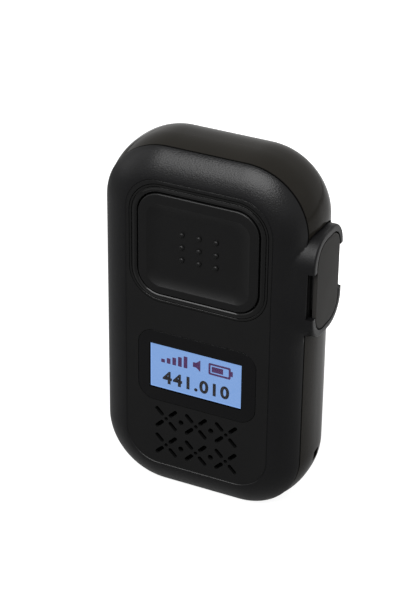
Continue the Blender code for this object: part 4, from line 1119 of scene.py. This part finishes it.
    def boss_outline(self, inset: float | Array) -> Array:
        """Boss outline drawn in by an inset, with close pairs of columns at the notches' ends.

        Args:
            inset: One inset, or one for each column.

        Returns:
            Pairs (Y, Z) about the boss's middle.
        """
        port = self.port
        base = rounded_outline(*port.size, self.boss_corner, self.boss_side)
        arc = self.boss_corner + 1
        block, hair = arc + self.boss_side, self.hair
        for side, (low, high) in ((1, port.front_notch), (3, port.rear_notch)):
            columns = slice(side * block + arc, (side + 1) * block)
            between = np.linspace(low + hair, high - hair, self.boss_side - 2)
            z = np.concatenate([[low - hair], between, [high + hair]])
            base[columns, 1] = z[::-1] if side == 1 else z
        core = np.array((port.depth / 2 - port.corner, port.height / 2 - port.corner))
        outward = base - np.clip(base, -core, core)
        length = np.maximum(np.linalg.norm(outward, axis=1, keepdims=True), LEAST_RADIUS)
        return base - outward / length * np.reshape(inset, (-1, 1))

    def ptt_opening(self) -> Array:
        """Hole for the button's ring, as (X, Z) pairs."""
        button = PushToTalk(self.case)
        return rounded_outline(*button.ring_size(self.ring_gap), self.ring_steps) + button.middle()[[0, 2]]

    def lens_opening(self) -> Array:
        """Hole for the window.

        Returns:
            Pairs (X, Z).
        """
        low, high, middle = box_of("display_lens")
        width, _, height = high - low
        return drawn_in((width, height, Display.lens_corner), -self.window_gap) + middle[[0, 2]]

    def grille_openings(self) -> list[Array]:
        """Crossed slots with a hole at each crossing, and dots between the crossings of a row.

        Returns:
            One outline for each opening, as (X, Z) pairs.
        """
        sides = (self.slot_length, self.slot_width, self.slot_width / 2)
        slot = rounded_outline(*sides, per_corner=5, per_side=0)
        slot = slot + (self.slot_reach - self.slot_length / 2, 0)
        turn = np.radians(45 + 90 * np.arange(4))
        arms = [slot @ np.array(((np.cos(a), np.sin(a)), (-np.sin(a), np.cos(a)))) for a in turn]
        cross = [*arms, circle(self.hub_radius)]
        middle_z = self.case.low_z + self.grille_rise
        openings = []
        for row in range(self.rows):
            z = middle_z + (row - (self.rows - 1) / 2) * self.pitch_z
            for column in range(self.columns):
                x = (column - (self.columns - 1) / 2) * self.pitch_x
                openings += [shape + (x, z) for shape in cross]
                if column:
                    openings.append(circle(self.dot_radius) + (x - self.pitch_x / 2, z))
        return openings


@dataclass
class RearShell:
    """Glossy rear half of the case: barrelled sides, flat back, and the openings in them."""

    case: CaseForm
    port: PortForm
    flat_band: float = 1.0 * MM
    port_gap: float = 0.45 * MM
    port_reach: tuple[float, float] = (22.0 * MM, 32.0 * MM)
    key_lip: float = 1.0 * MM
    key_corner: float = 1.6 * MM
    key_reach: tuple[float, float] = (-32.0 * MM, -24.0 * MM)
    contact_radius: float = 1.9 * MM
    contact_reach: tuple[float, float] = (-2.0 * MM, 4.0 * MM)
    strap_slot: float = 3.0 * MM
    strap_corner: float = 0.5 * MM
    strap_rise: float = 14.1 * MM
    strap_y: float = 2.1 * MM
    strap_reach: float = 5.4 * MM
    strap_out_x: float = 34.0 * MM
    strap_out_z: float = -4.0 * MM
    base_corner: float = 1.0 * MM
    base_drop: float = -20.0 * MM
    well_out: float = 1.0 * MM
    clip_hole: float = -0.5 * MM
    hole_steps: int = 32

    def build(self) -> None:
        """Makes the sides and the back, and cuts their openings."""
        case = self.case
        sides = solid("rear_sides", self.side_surface(), CASE_SHARP)
        carve(sides, self.side_cutters() + self.screw_wells())
        settle(sides, REAR, nodes=("rear_shell",))
        outer = case.outline(case.rear_edge + self.flat_band)
        holes = [self.screw_hole(name, self.clip_hole) for name in nodes_with("clip_screw")]
        back = flat_plate("rear_back", [outer, *holes], case.back_y - case.wall, case.back_y)
        carve(back, self.screw_wells())
        settle(back, REAR)

    def side_surface(self) -> Surface:
        """Side wall as one profile carried round: barrel, rounded rear edge, and the inside.

        Returns:
            A closed ring.
        """
        case = self.case
        inner_back = case.back_y - case.wall
        flat = case.rear_edge + self.flat_band
        inside = [
            (flat, case.back_y),
            (flat, inner_back),
            (2 * case.wall, inner_back),
            (case.wall, inner_back - case.wall),
            (case.wall, case.rim_y),
        ]
        return skin(case.rings(np.concatenate([case.barrel(), inside])), loop=True)

    def side_cutters(self) -> list[bpy.types.Object]:
        """Shapes of the port's slot, the keys, the contacts, the strap slot and the base plane.

        Returns:
            Closed cutters.
        """
        case, port = self.case, self.port
        slot = drawn_in(port.size, -self.port_gap, per_side=2) + (port.middle_y, port.middle_z)
        cutters = [flat_plate("port_slot", [slot], *self.port_reach, Axis.X)]
        for key in KEYS:
            low, high, middle = box_of(key + "_key")
            size = (high - low)[1:] - 2 * self.key_lip + 2 * case.gap
            cap = rounded_outline(*size, self.key_corner + case.gap, per_corner=8) + middle[1:]
            cutters.append(flat_plate(key + "_key_slot", [cap], *self.key_reach, Axis.X))
        for side in ("left", "right"):
            middle = box_of("charge_contact_" + side)[2]
            hole = circle(self.contact_radius + case.gap, self.hole_steps) + middle[:2]
            cutters.append(flat_plate("charge_" + side, [hole], *self.contact_reach, Axis.Z))
        square = rounded_outline(self.strap_slot, self.strap_slot, self.strap_corner, per_corner=6)
        turn_x = case.width / 2 + case.side_bulge - self.strap_reach
        turn_z = case.low_z + self.strap_rise
        way_in, way_out = square + (self.strap_y, turn_z), square + (turn_x, self.strap_y)
        in_x = turn_x - self.strap_slot / 2
        cutters.append(flat_plate("strap_in", [way_in], in_x, self.strap_out_x, Axis.X))
        cutters.append(flat_plate("strap_out", [way_out], self.strap_out_z, turn_z, Axis.Z))
        base = rounded_outline(2 * case.width, 2 * case.width, self.base_corner, per_corner=2)
        cutters.append(flat_plate("base_plane", [base], self.base_drop, 0.0, Axis.Z))
        return cutters

    def screw_wells(self) -> list[bpy.types.Object]:
        """Wells for the heads of the case screws, which reach past the back's flat into its rounded edge.

        Returns:
            Closed cutters.
        """
        case = self.case
        deep, behind = case.back_y - 2 * case.wall, case.back_y + self.well_out
        holes = {name: self.screw_hole(name, case.gap) for name in nodes_with("case_screw")}
        return [flat_plate(name + "_well", [hole], deep, behind) for name, hole in holes.items()]

    def screw_hole(self, name: str, spread: float) -> Array:
        """Round hole about a screw.

        Args:
            name: Name of the screw.
            spread: How far the hole's edge stands outside the screw's head.

        Returns:
            Pairs (X, Z).
        """
        low, high, middle = box_of(name)
        return circle((high - low)[0] / 2 + spread, self.hole_steps) + middle[[0, 2]]


@dataclass
class PushToTalk:
    """Dished button with nine nubs, and the raised gloss ring round it."""

    case: CaseForm
    width: float = 33.0 * MM
    height: float = 27.9 * MM
    corner: float = 6.2 * MM
    corner_ease: float = 0.55
    edge: float = 0.4 * MM
    edge_steps: int = 8
    # Bands beside the rounded edge and beside the dish that keep the rim's shading flat
    crisp: tuple[float, float] = (0.06 * MM, 0.04 * MM)
    rim: float = 2.4 * MM
    slope: float = 3.6 * MM
    dish: float = 0.92 * MM
    dish_drop: float = 0.35 * MM
    dish_lip: float = 0.01
    dish_steps: int = 17
    stand: float = 0.22 * MM
    flange_lip: float = 0.8 * MM
    flange_rise: float = 3.0 * MM
    flange: float = 1.0 * MM
    nub_radius: float = 0.74 * MM
    nub_height: float = 0.7 * MM
    nub_root: float = -0.5
    nub_rings: int = 9
    nub_steps: int = 24
    nub_pitch: tuple[float, float] = (4.68 * MM, 3.5 * MM)
    nub_rise: float = 0.12 * MM
    proud: float = 0.18 * MM
    band: float = 2.4 * MM
    gap: float = 0.2 * MM
    lift: float = 0.1 * MM
    # Start, end and depth of the ring's furrow, and the radii of its two edges
    furrow: tuple[float, float, float] = (0.52 * MM, 0.70 * MM, 0.3 * MM)
    furrow_edges: tuple[float, float] = (0.12 * MM, 0.06 * MM)
    rise_steps: int = 15
    inner_edge: tuple[float, float] = (0.7 * MM, 0.8 * MM)
    inner_steps: int = 10
    ring_lip: float = 0.9 * MM
    ring_lip_wall: float = 0.8 * MM
    per_corner: int = 20
    per_side: int = 20

    def ring_size(self, spread: float) -> tuple[float, float, float]:
        """Width, height and corner of the ring's outside, spread by a clearance."""
        grow = self.band + spread
        return self.width + 2 * grow, self.height + 2 * grow, self.corner + grow

    def middle(self) -> Array:
        """Middle of the button."""
        return box_of("ptt_button")[2] + (0, 0, self.lift)

    def build(self) -> None:
        """Makes the button and its ring."""
        cap = self.rings(self.button_profile(), (self.width, self.height, self.corner))
        # The dish's rows and the edge before them lie a little lower than the button's outside
        cap[-self.dish_steps - 3 :, :, 2] -= self.dish_drop
        button = solid("ptt_cap", Surface.joined([skin(cap), *self.nubs()]))
        settle(button, BUTTON, "ptt", ("ptt_button",))
        ring = self.rings(self.ring_profile(), self.ring_size(0))
        settle(solid("ptt_ring", skin(ring, loop=True)), RING, nodes=("ptt_bezel",))

    def rings(self, profile: Array, size: tuple[float, float, float]) -> Array:
        """Carries a profile round a rounded rectangle at the button's middle.

        Args:
            profile: Pairs (inset, Y).
            size: Width, height and corner of the outline at inset 0.

        Returns:
            Rings by columns by XYZ.
        """
        width, height, corner = size
        middle = self.middle()[[0, 2]]
        steps = self.per_corner, self.per_side
        inset = profile[:, 0]
        turn = corner - inset + self.corner_ease * np.maximum(inset - self.rim, 0)
        flat = []
        for drawn, radius in zip(inset, turn):
            flat.append(rounded_outline(width - 2 * drawn, height - 2 * drawn, radius, *steps) + middle)
        return stacked(flat, profile[:, 1])

    def button_profile(self) -> Array:
        """Stop flange, side, rounded edge, flat rim and a dish of depth 1 - (1 - s)^2 along its slope s.

        Returns:
            Pairs (inset, Y), from the back to the dish's floor.
        """
        face = self.case.face_y - self.stand
        flange_y = self.case.face_y + self.flange_rise
        lip = -self.flange_lip
        back = [(lip, flange_y + self.flange), (lip, flange_y), (0, flange_y)]
        side = quarter(self.edge, self.edge, self.edge_steps) + (0, face)
        crisp = [(self.edge + self.crisp[0], face), (self.rim - self.crisp[1], face)]
        share = np.concatenate([[0, self.dish_lip], np.linspace(0, 1, self.dish_steps + 1)[1:]])
        dish = np.stack([self.rim + self.slope * share, face + self.dish * (1 - (1 - share) ** 2)], axis=-1)
        return np.concatenate([back, side, crisp, dish])

    def nubs(self) -> list[Surface]:
        """Three rows of three domes: half ellipsoids that stand in the dish's floor.

        Returns:
            One closed surface for each dome.
        """
        floor = self.case.face_y - self.stand + self.dish
        lift = np.linspace(self.nub_root, 1, self.nub_rings + 1)[:-1]
        around = circle(self.nub_radius, self.nub_steps)
        middle = self.middle()[[0, 2]] + (0, self.nub_rise)
        domes = []
        for row, column in product((-1, 0, 1), repeat=2):
            place = middle + np.array(self.nub_pitch) * (column, row)
            rings = [place + around * spread for spread in np.sqrt(1 - lift**2)]
            domes.append(skin(stacked(rings, floor - self.nub_height * lift)))
        return domes

    def ring_profile(self) -> Array:
        """Ring: a flush lip, a furrow, an eased rise to a flat top, and a rounded fall to the button.

        Behind the panel the ring has a lip that holds it.

        Returns:
            Pairs (inset, Y), closed.
        """
        face = self.case.face_y
        width = self.band - self.gap
        start, end, depth = self.furrow
        floor = face + depth
        outer_edge, inner_edge = self.furrow_edges
        outer = quarter(outer_edge, outer_edge, steps=5)[::-1] * (-1, 1) + (start, face)
        near = quarter(inner_edge, inner_edge, steps=4) + (end, face)
        cut = np.concatenate([outer, [(start, floor), (end, floor)], near])
        across = np.linspace(cut[-1, 0], width - self.inner_edge[0], self.rise_steps + 1)[1:-1]
        height = self.proud * ease(across, cut[-1, 0], across[-1])
        rise = np.concatenate([[(0, floor), (0, face)], cut, np.stack([across, face - height], axis=-1)])
        fall = quarter(*self.inner_edge, self.inner_steps)[::-1] * (-1, 1) + (width, face - self.proud)
        inner = face + self.case.panel_wall + self.case.gap
        back = inner + self.ring_lip_wall
        behind = [(width, back), (-self.ring_lip, back), (-self.ring_lip, inner), (0, inner)]
        return np.concatenate([rise, fall, behind])


@dataclass(frozen=True)
class Symbols:
    """What the display shows: signal bars, a speaker and a battery, and plain digits below them."""

    bars: int = 5
    bar_width: float = 1.05 * MM
    bar_pitch: float = 1.6 * MM
    bar_heights: tuple[float, float] = (1.0 * MM, 3.4 * MM)
    bar_foot: tuple[float, float] = (-9.4 * MM, 1.2 * MM)
    battery: tuple[float, float] = (6.6 * MM, 2.9 * MM)
    # Width, height and corner of each of the battery's outlines, and how far two of them stand aside
    battery_outside: tuple[float, float, float] = (6.2 * MM, 3.4 * MM, 0.4 * MM)
    battery_inside: tuple[float, float, float] = (5.1 * MM, 2.3 * MM, 0.2 * MM)
    level: tuple[float, float, float] = (3.2 * MM, 1.6 * MM, 0.1 * MM)
    level_x: float = -0.6 * MM
    tip: tuple[float, float, float] = (0.6 * MM, 1.5 * MM, 0.1 * MM)
    tip_x: float = 3.4 * MM
    small_corner: float = 0.1 * MM
    speaker: tuple[float, float] = (0.4 * MM, 2.9 * MM)
    horn_back: tuple[float, float] = (-1.3 * MM, 0.7 * MM)
    horn_neck: tuple[float, float] = (-0.4 * MM, 0.7 * MM)
    horn_mouth: tuple[float, float] = (0.8 * MM, 1.7 * MM)
    text: str = "441.010"
    # Text is drawn in millimetres
    text_size: float = 4.9
    text_weight: float = 0.19
    text_spacing: float = 1.2
    text_drop: float = 4.75 * MM

    def build(self, centre: Array, low: float, high: float) -> None:
        """Makes every sign as a thin printed layer.

        Args:
            centre: Middle of the lit screen, as X and Z.
            low: Front of the printed layer.
            high: Back of the printed layer.
        """
        shapes = {}
        for index, tall in enumerate(np.linspace(*self.bar_heights, self.bars)):
            bar = rounded_outline(self.bar_width, tall, self.small_corner, per_corner=2, per_side=0)
            shapes[f"signal_bar_{index + 1}"] = [bar + self.bar_foot + (index * self.bar_pitch, tall / 2)]
        outside = rounded_outline(*self.battery_outside, per_corner=4, per_side=0)
        inside = rounded_outline(*self.battery_inside, per_corner=4, per_side=0)
        level = rounded_outline(*self.level, per_corner=2, per_side=0)
        tip = rounded_outline(*self.tip, per_corner=2, per_side=0)
        shapes["battery_icon"] = [outside + self.battery, inside + self.battery]
        shapes["battery_level"] = [level + self.battery + (self.level_x, 0)]
        shapes["battery_tip"] = [tip + self.battery + (self.tip_x, 0)]
        half = np.array([self.horn_mouth, self.horn_neck, self.horn_back])
        shapes["speaker_icon"] = [np.concatenate([half[::-1] * (1, -1), half]) + self.speaker]
        for name, outlines in shapes.items():
            settle(flat_plate(name, [outline + centre for outline in outlines], low, high), PLUM_INK)
        digits = bpy.data.curves.new("digits", "FONT")
        digits.body, digits.size, digits.align_x = self.text, self.text_size, "CENTER"
        digits.offset, digits.space_character = self.text_weight, self.text_spacing
        digits.extrude = (high - low) / 2 / MM
        mesh = curve_mesh(digits)
        mesh.transform(Axis.Y.stand(Vector((centre[0], (low + high) / 2, centre[1] - self.text_drop))))
        settle(add_object("digits", mesh), INK)


@dataclass
class Display:
    """Smoked window, the lit screen bonded behind it, and what the screen shows."""

    lens_corner: float = 4.5 * MM
    edge: float = 0.05 * MM
    lit_width: float = 25.9 * MM
    lit_height: float = 13.2 * MM
    lit_corner: float = 0.15 * MM
    lit_shift: tuple[float, float] = (-0.40 * MM, -0.15 * MM)
    lit_border: float = 0.35 * MM
    # Depths behind the window of the printed layer and of the screen
    print_depth: tuple[float, float] = (0.02 * MM, 0.045 * MM)
    screen_depth: tuple[float, float] = (0.05 * MM, 0.25 * MM)
    clearness: float = 0.96
    smear_pitch: float = 4.0 * MM
    symbols: Symbols = Symbols()

    def build(self) -> None:
        """Makes window, screen, icons and digits."""
        low, high, middle = box_of("display_lens")
        width, _, height = high - low
        turn = quarter(self.edge, self.edge, steps=4) + (0, low[1])
        profile = np.concatenate([[(0, high[1])], turn])
        outside = (width, height, self.lens_corner)
        flat = [drawn_in(outside, inset) + middle[[0, 2]] for inset in profile[:, 0]]
        lens = solid("window", skin(stacked(flat, profile[:, 1])), GLASS_SHARP)
        settle(lens, INK, nodes=("display_lens",))
        centre = middle[[0, 2]] + self.lit_shift
        lens.data.materials[0] = self.window_material(centre)
        lit = rounded_outline(self.lit_width, self.lit_height, self.lit_corner, per_corner=4) + centre
        screen = settle(flat_plate("screen", [lit], *(high[1] + depth for depth in self.screen_depth)), INK)
        screen.data.materials[0] = self.screen_material(centre)
        self.symbols.build(centre, *(high[1] + depth for depth in self.print_depth))

    def window_material(self, centre: Array) -> bpy.types.Material:
        """Black gloss border, clear over the lit screen.

        Args:
            centre: Middle of the lit screen, as X and Z.

        Returns:
            The material.
        """
        made, graph = new_material("smoked_window")
        inside = self.inside(graph, centre, 0.0)
        smear = graph.relief(Pattern.GRAIN, self.smear_pitch)
        graph.surface(
            {
                "Base Color": (0.0035, 0.0035, 0.0038, 1.0),
                "Roughness": graph.math("MULTIPLY_ADD", smear, 0.12, 0.12),
                "Specular IOR Level": 0.12,
                "Alpha": graph.math("MULTIPLY_ADD", inside, -self.clearness, 1.0),
            }
        )
        return made

    def screen_material(self, centre: Array) -> bpy.types.Material:
        """Pale blue glow, a little brighter along the border.

        Args:
            centre: Middle of the lit screen, as X and Z.

        Returns:
            The material.
        """
        made, graph = new_material("lit_screen")
        inside = self.inside(graph, centre, self.lit_border)
        blues = {"Factor": inside, "A": (0.25, 0.44, 0.86, 1.0), "B": (0.208, 0.372, 0.722, 1.0)}
        graph.surface(
            {
                "Base Color": (0.01, 0.01, 0.015, 1.0),
                "Roughness": 0.4,
                "Emission Color": graph.node("ShaderNodeMix", blues, data_type="RGBA").outputs["Result"],
                "Emission Strength": 1.0,
            }
        )
        return made

    def inside(self, graph: Graph, centre: Array, margin: float) -> bpy.types.NodeSocket:
        """Mask that is 1 over the lit screen, less a margin, and 0 elsewhere.

        Args:
            graph: Graph of the material.
            centre: Middle of the lit screen, as X and Z.
            margin: Width of the border that is left out.

        Returns:
            The mask's socket.
        """
        axes = graph.node("ShaderNodeSeparateXYZ", {0: graph.place()}).outputs
        masks = []
        for axis, middle, size in (("X", centre[0], self.lit_width), ("Z", centre[1], self.lit_height)):
            away = graph.math("ABSOLUTE", graph.math("SUBTRACT", axes[axis], float(middle)))
            masks.append(graph.math("LESS_THAN", away, size / 2 - margin))
        return graph.math("MULTIPLY", *masks)


@dataclass
class AccessoryPort:
    """Flush cover in the well of the boss."""

    port: PortForm
    edge: float = 0.22 * MM
    gap: float = 0.34 * MM
    flange: float = 1.05 * MM
    undercut: float = 4.0 * MM

    def build(self) -> None:
        """Makes the cover as rings of one outline: set-back body, flange and rounded edge."""
        port = self.port
        low_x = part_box("port_cover")[0][0]
        under = port.end_x - self.flange
        body = [(self.undercut, low_x), (self.undercut, under), (0.0, under)]
        turn = quarter(self.edge, self.edge, steps=6) * (1, -1) + (0, port.end_x)
        profile = np.concatenate([body, turn])
        insets = profile[:, 0] + port.wall + self.gap
        flat = [drawn_in(port.size, inset) + (port.middle_y, port.middle_z) for inset in insets]
        cover = solid("port_lid", skin(stacked(flat, profile[:, 1], Axis.X)), GLASS_SHARP)
        settle(cover, COVER, "cover", ("port_cover",))


@dataclass
class BeltClip:
    """Sprung clip on the back: rounded copies of its solids, and a finer torsion spring."""

    lever_edge: float = 0.35 * MM
    bracket_edge: float = 0.2 * MM
    pin_edge: float = 0.2 * MM
    wire: float = 0.7 * MM
    wire_steps: int = 14
    radius: float = 1.9 * MM
    pitch: float = 1.3 * MM
    turns: float = 4.5
    turn_steps: int = 28
    leg: float = 7.0 * MM
    leg_steps: int = 11

    def build(self) -> None:
        """Rounds lever, bracket and pin, and winds the spring."""
        softened("belt_clip", self.lever_edge, NYLON, "clip")
        softened("clip_bracket", self.bracket_edge, NYLON)
        softened("clip_pin", self.pin_edge, STEEL)
        spring = settle(solid("spring_coil", self.coil(), WIRE_SHARP), STEEL, None, ("clip_spring",))
        hinge = self.hinge()
        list(hinge[1:])
        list(hinge[1:])
        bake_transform(spring)

    def hinge(self) -> Array:
        """Middle of the hinge pin."""
        return box_of("clip_pin")[2]

    def coil(self) -> Surface:
        """Round wire along a straight leg, a helix about X and a second leg.

        The helix is X = pitch t, Y = r cos(-a), Z = r sin(-a), and each leg runs up from its end.

        Returns:
            A closed tube.
        """
        angle = -math.tau * self.turns * np.linspace(0, 1, int(self.turns * self.turn_steps) + 1)
        along = self.turns * self.pitch * (angle / angle[-1] - 0.5)
        leg = np.linspace(self.leg, 0, self.leg_steps + 1)[:-1]
        ends = (len(leg), len(leg))
        angles, x = np.pad(angle, ends, "edge"), np.pad(along, ends, "edge")
        lift = np.concatenate([leg, np.zeros(len(angle)), leg[::-1]])
        flat = np.zeros(len(x))
        radial = np.stack([flat, np.cos(angles), np.sin(angles)], axis=-1)
        path = radial * self.radius + np.stack([x, flat, lift], axis=-1)
        tangent = np.gradient(path, axis=0)
        tangent /= np.linalg.norm(tangent, axis=1, keepdims=True)
        side = np.cross(tangent, radial)
        around = circle(self.wire / 2, self.wire_steps)
        ring = around[:, :1] * radial[:, None] + around[:, 1:] * side[:, None]
        return skin(self.hinge() + path[:, None] + ring)


@dataclass
class SmallParts:
    """Solids whose shape is right: rounded where they show, and dressed as they are inside."""

    key_edge: float = 0.2 * MM
    screw_edge: float = 0.12 * MM
    connector_edge: float = 0.1 * MM

    def build(self) -> None:
        """Rounds keys, screws and connector, and dresses the rest."""
        for key in KEYS:
            softened(key + "_key", self.key_edge, BUTTON, key)
        for name in nodes_with("_screw_"):
            softened(name, self.screw_edge, STEEL)
        softened("port_connector", self.connector_edge, NYLON)
        self.dress(CLOTH, "grille_cloth")
        self.dress(RUBBER, "case_seal", "port_seal", "mic_boot")
        self.dress(NYLON, "lcd_frame", "lcd_panel", "ptt_switch", *(key + "_switch" for key in KEYS))
        self.dress(PAPER, "speaker_cone")
        self.dress(FOAM, "speaker_gasket", "battery_foam")
        self.dress(TIN, "speaker_basket", "microphone", "shield_can")
        self.dress(FERRITE, "speaker_magnet")
        self.dress(BOARD, "main_board")
        self.dress(WRAP, "battery_pack")
        self.dress(GOLD, "antenna", "charge_contact_left", "charge_contact_right")
        self.dress(GOLD, "port_contacts_front", "port_contacts_rear")

    def dress(self, finish: Finish, *names: str) -> None:
        """Gives solids a finish and leaves their shape.

        Args:
            finish: The finish.
            *names: The solids.
        """
        for name in names:
            materials = bpy.data.objects[name].data.materials
            materials.clear()
            materials.append(finish.material())
            LOG.info("%s: dressed in %s", name, finish.name)


@dataclass(frozen=True)
class Lamp:
    """Soft rectangular lamp: where it hangs and points, its two sides, and its power in watts."""

    name: str
    place: tuple[float, float, float]
    target: tuple[float, float, float]
    size: tuple[float, float]
    power: float
    mirrored: bool = True

    def hang(self) -> None:
        """Puts the lamp into the scene. Gloss shows it only where it is mirrored."""
        data = bpy.data.lights.new(self.name, "AREA")
        data.shape, data.size, data.size_y, data.energy = "RECTANGLE", *self.size, self.power
        obj = add_object(self.name, data)
        obj.location = self.place
        way = Vector(self.target) - Vector(self.place)
        obj.rotation_euler = way.to_track_quat("-Z", "Y").to_euler()
        obj.visible_glossy = self.mirrored


@dataclass
class Studio:
    """White surroundings, soft lamps and the camera of the photograph."""

    lamps: tuple[Lamp, ...] = (
        Lamp("key", (-0.05, -0.50, 0.58), (0.0, 0.0, 0.08), (0.60, 0.52), 8.6),
        Lamp("left_fill", (-0.60, -0.25, 0.30), (0.0, 0.0, 0.05), (0.25, 0.5), 0.35),
        Lamp("right_fill", (0.55, 0.22, 0.38), (0.08, 0.06, 0.02), (0.3, 0.3), 1.9, False),
        Lamp("back_fill", (-0.05, 0.65, 0.25), (0.0, 0.0, 0.05), (0.5, 0.4), 2.5, False),
    )
    camera_place: tuple[float, float, float] = (0.19419, -0.41405, 0.31390)
    yaw: float = 25.38
    elevation: float = 29.47
    roll: float = 0.767
    focal_pixels: float = 2066.9
    frame_pixels: float = 589.0
    sensor: float = 36.0
    clip_start: float = 0.01
    floor_half: float = 1.5
    floor_lines: int = 9
    floor_z: float = -0.0002
    # The floor's tone, and how bright gloss shows it: at the left front, and what the right rear adds as
    # painted light
    tone: tuple[float, float] = (0.22, 0.38)
    glossy_lift_and_painted_light: tuple[float, float] = (0.1, 0.15)
    painted_light_ramp: float = 0.12
    floor_lift: float = 0.88
    world_light: float = 0.15

    def build(self) -> None:
        """Makes floor, world, lamps and camera."""
        self.build_floor()
        self.build_world()
        for lamp in self.lamps:
            lamp.hang()
        self.build_camera()

    def build_floor(self) -> None:
        """Makes a floor with painted light that grows towards the right rear, lifted to white where the
        camera sees it.
        """
        side = np.linspace(-self.floor_half, self.floor_half, self.floor_lines)
        x, y = np.meshgrid(side, side)
        points = np.stack([x, y, np.full_like(x, self.floor_z)], axis=-1).reshape(-1, 3)
        index = np.arange(x.size).reshape(x.shape)
        quads = np.stack([index[:-1, :-1], index[:-1, 1:], index[1:, 1:], index[1:, :-1]], axis=-1)
        mesh = bpy.data.meshes.new("floor")
        mesh.from_pydata(points.tolist(), [], quads.reshape(-1, 4).tolist())
        mesh.materials.append(self.floor_material())
        add_object("floor", mesh)

    def floor_material(self) -> bpy.types.Material:
        """Pale floor whose colour and brightness in reflections grow towards the right rear, along X + Y:
        painted light.

        Returns:
            The material.
        """
        made, graph = new_material("pale_floor")
        path = graph.node("ShaderNodeLightPath").outputs
        mirrored = graph.math("MAXIMUM", path["Is Glossy Ray"], path["Is Transmission Ray"])
        along = {0: graph.place(), 1: (1.0, 1.0, 0.0)}
        across = graph.node("ShaderNodeVectorMath", along, operation="DOT_PRODUCT").outputs["Value"]
        painted_light_ramp = {"Value": across, "From Min": 0.0, "From Max": self.painted_light_ramp}
        share = graph.node("ShaderNodeMapRange", painted_light_ramp, interpolation_type="SMOOTHSTEP").outputs["Result"]
        # Painted light: tone and brightness in reflections grow towards the right rear along X + Y, in place
        # of a lamp there
        (dark, painted_light_tone), (dim, brighter) = self.tone, self.glossy_lift_and_painted_light
        glossy_lift_and_painted_light = graph.math("MULTIPLY", mirrored, graph.math("MULTIPLY_ADD", share, brighter, dim))
        lift = graph.math("MULTIPLY_ADD", path["Is Camera Ray"], self.floor_lift, glossy_lift_and_painted_light)
        graph.surface(
            {
                "Base Color": graph.math("MULTIPLY_ADD", share, painted_light_tone, dark),
                "Roughness": 0.9,
                "Specular IOR Level": 0.0,
                "Emission Color": (1.0, 1.0, 1.0, 1.0),
                "Emission Strength": lift,
            }
        )
        return made

    def build_world(self) -> None:
        """Makes a world that is white to the camera and in reflections, and a soft grey light elsewhere."""
        world = bpy.data.worlds.new("studio")
        bpy.context.scene.world = world
        world.use_nodes = True
        graph = Graph(world.node_tree)
        path = graph.node("ShaderNodeLightPath").outputs
        seen = graph.math("MAXIMUM", path["Is Camera Ray"], path["Is Transmission Ray"])
        seen = graph.math("MAXIMUM", seen, path["Is Glossy Ray"])
        strength = graph.math("MULTIPLY_ADD", seen, 1 - self.world_light, self.world_light)
        light = graph.node("ShaderNodeBackground", {"Color": (1.0, 1.0, 1.0, 1.0), "Strength": strength})
        graph.node("ShaderNodeOutputWorld", {"Surface": light.outputs[0]})

    def build_camera(self) -> None:
        """Sets the camera by its yaw, elevation and roll about the object."""
        yaw, tilt, roll = map(math.radians, (self.yaw, self.elevation, self.roll))
        back = Vector((math.sin(yaw) * math.cos(tilt), -math.cos(yaw) * math.cos(tilt), math.sin(tilt)))
        right = Vector((math.cos(yaw), math.sin(yaw), 0.0))
        up = back.cross(right)
        turned = right * math.cos(roll) + up * math.sin(roll)
        top = up * math.cos(roll) - right * math.sin(roll)
        data = bpy.data.cameras.new("camera")
        data.sensor_fit, data.sensor_height = "VERTICAL", self.sensor
        data.lens = self.focal_pixels / self.frame_pixels * self.sensor
        data.clip_start = self.clip_start
        obj = add_object("camera", data)
        matrix = Matrix((turned, top, back)).transposed().to_4x4()
        matrix.translation = Vector(self.camera_place)
        obj.matrix_world = matrix
        bpy.context.scene.camera = obj


def main() -> None:
    """Loads the frame, builds each sub-assembly and the studio, and notes the sizes."""
    logging.basicConfig(level=logging.INFO, format="%(message)s")
    for old in list(bpy.data.objects):
        bpy.data.objects.remove(old)
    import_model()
    case = CaseForm()
    port = PortForm(case)
    FrontShell(case, port).build()
    RearShell(case, port).build()
    PushToTalk(case).build()
    Display().build()
    AccessoryPort(port).build()
    BeltClip().build()
    SmallParts().build()
    Studio().build()
    bpy.context.scene.view_settings.view_transform = "Standard"


if __name__ == "__main__":
    main()
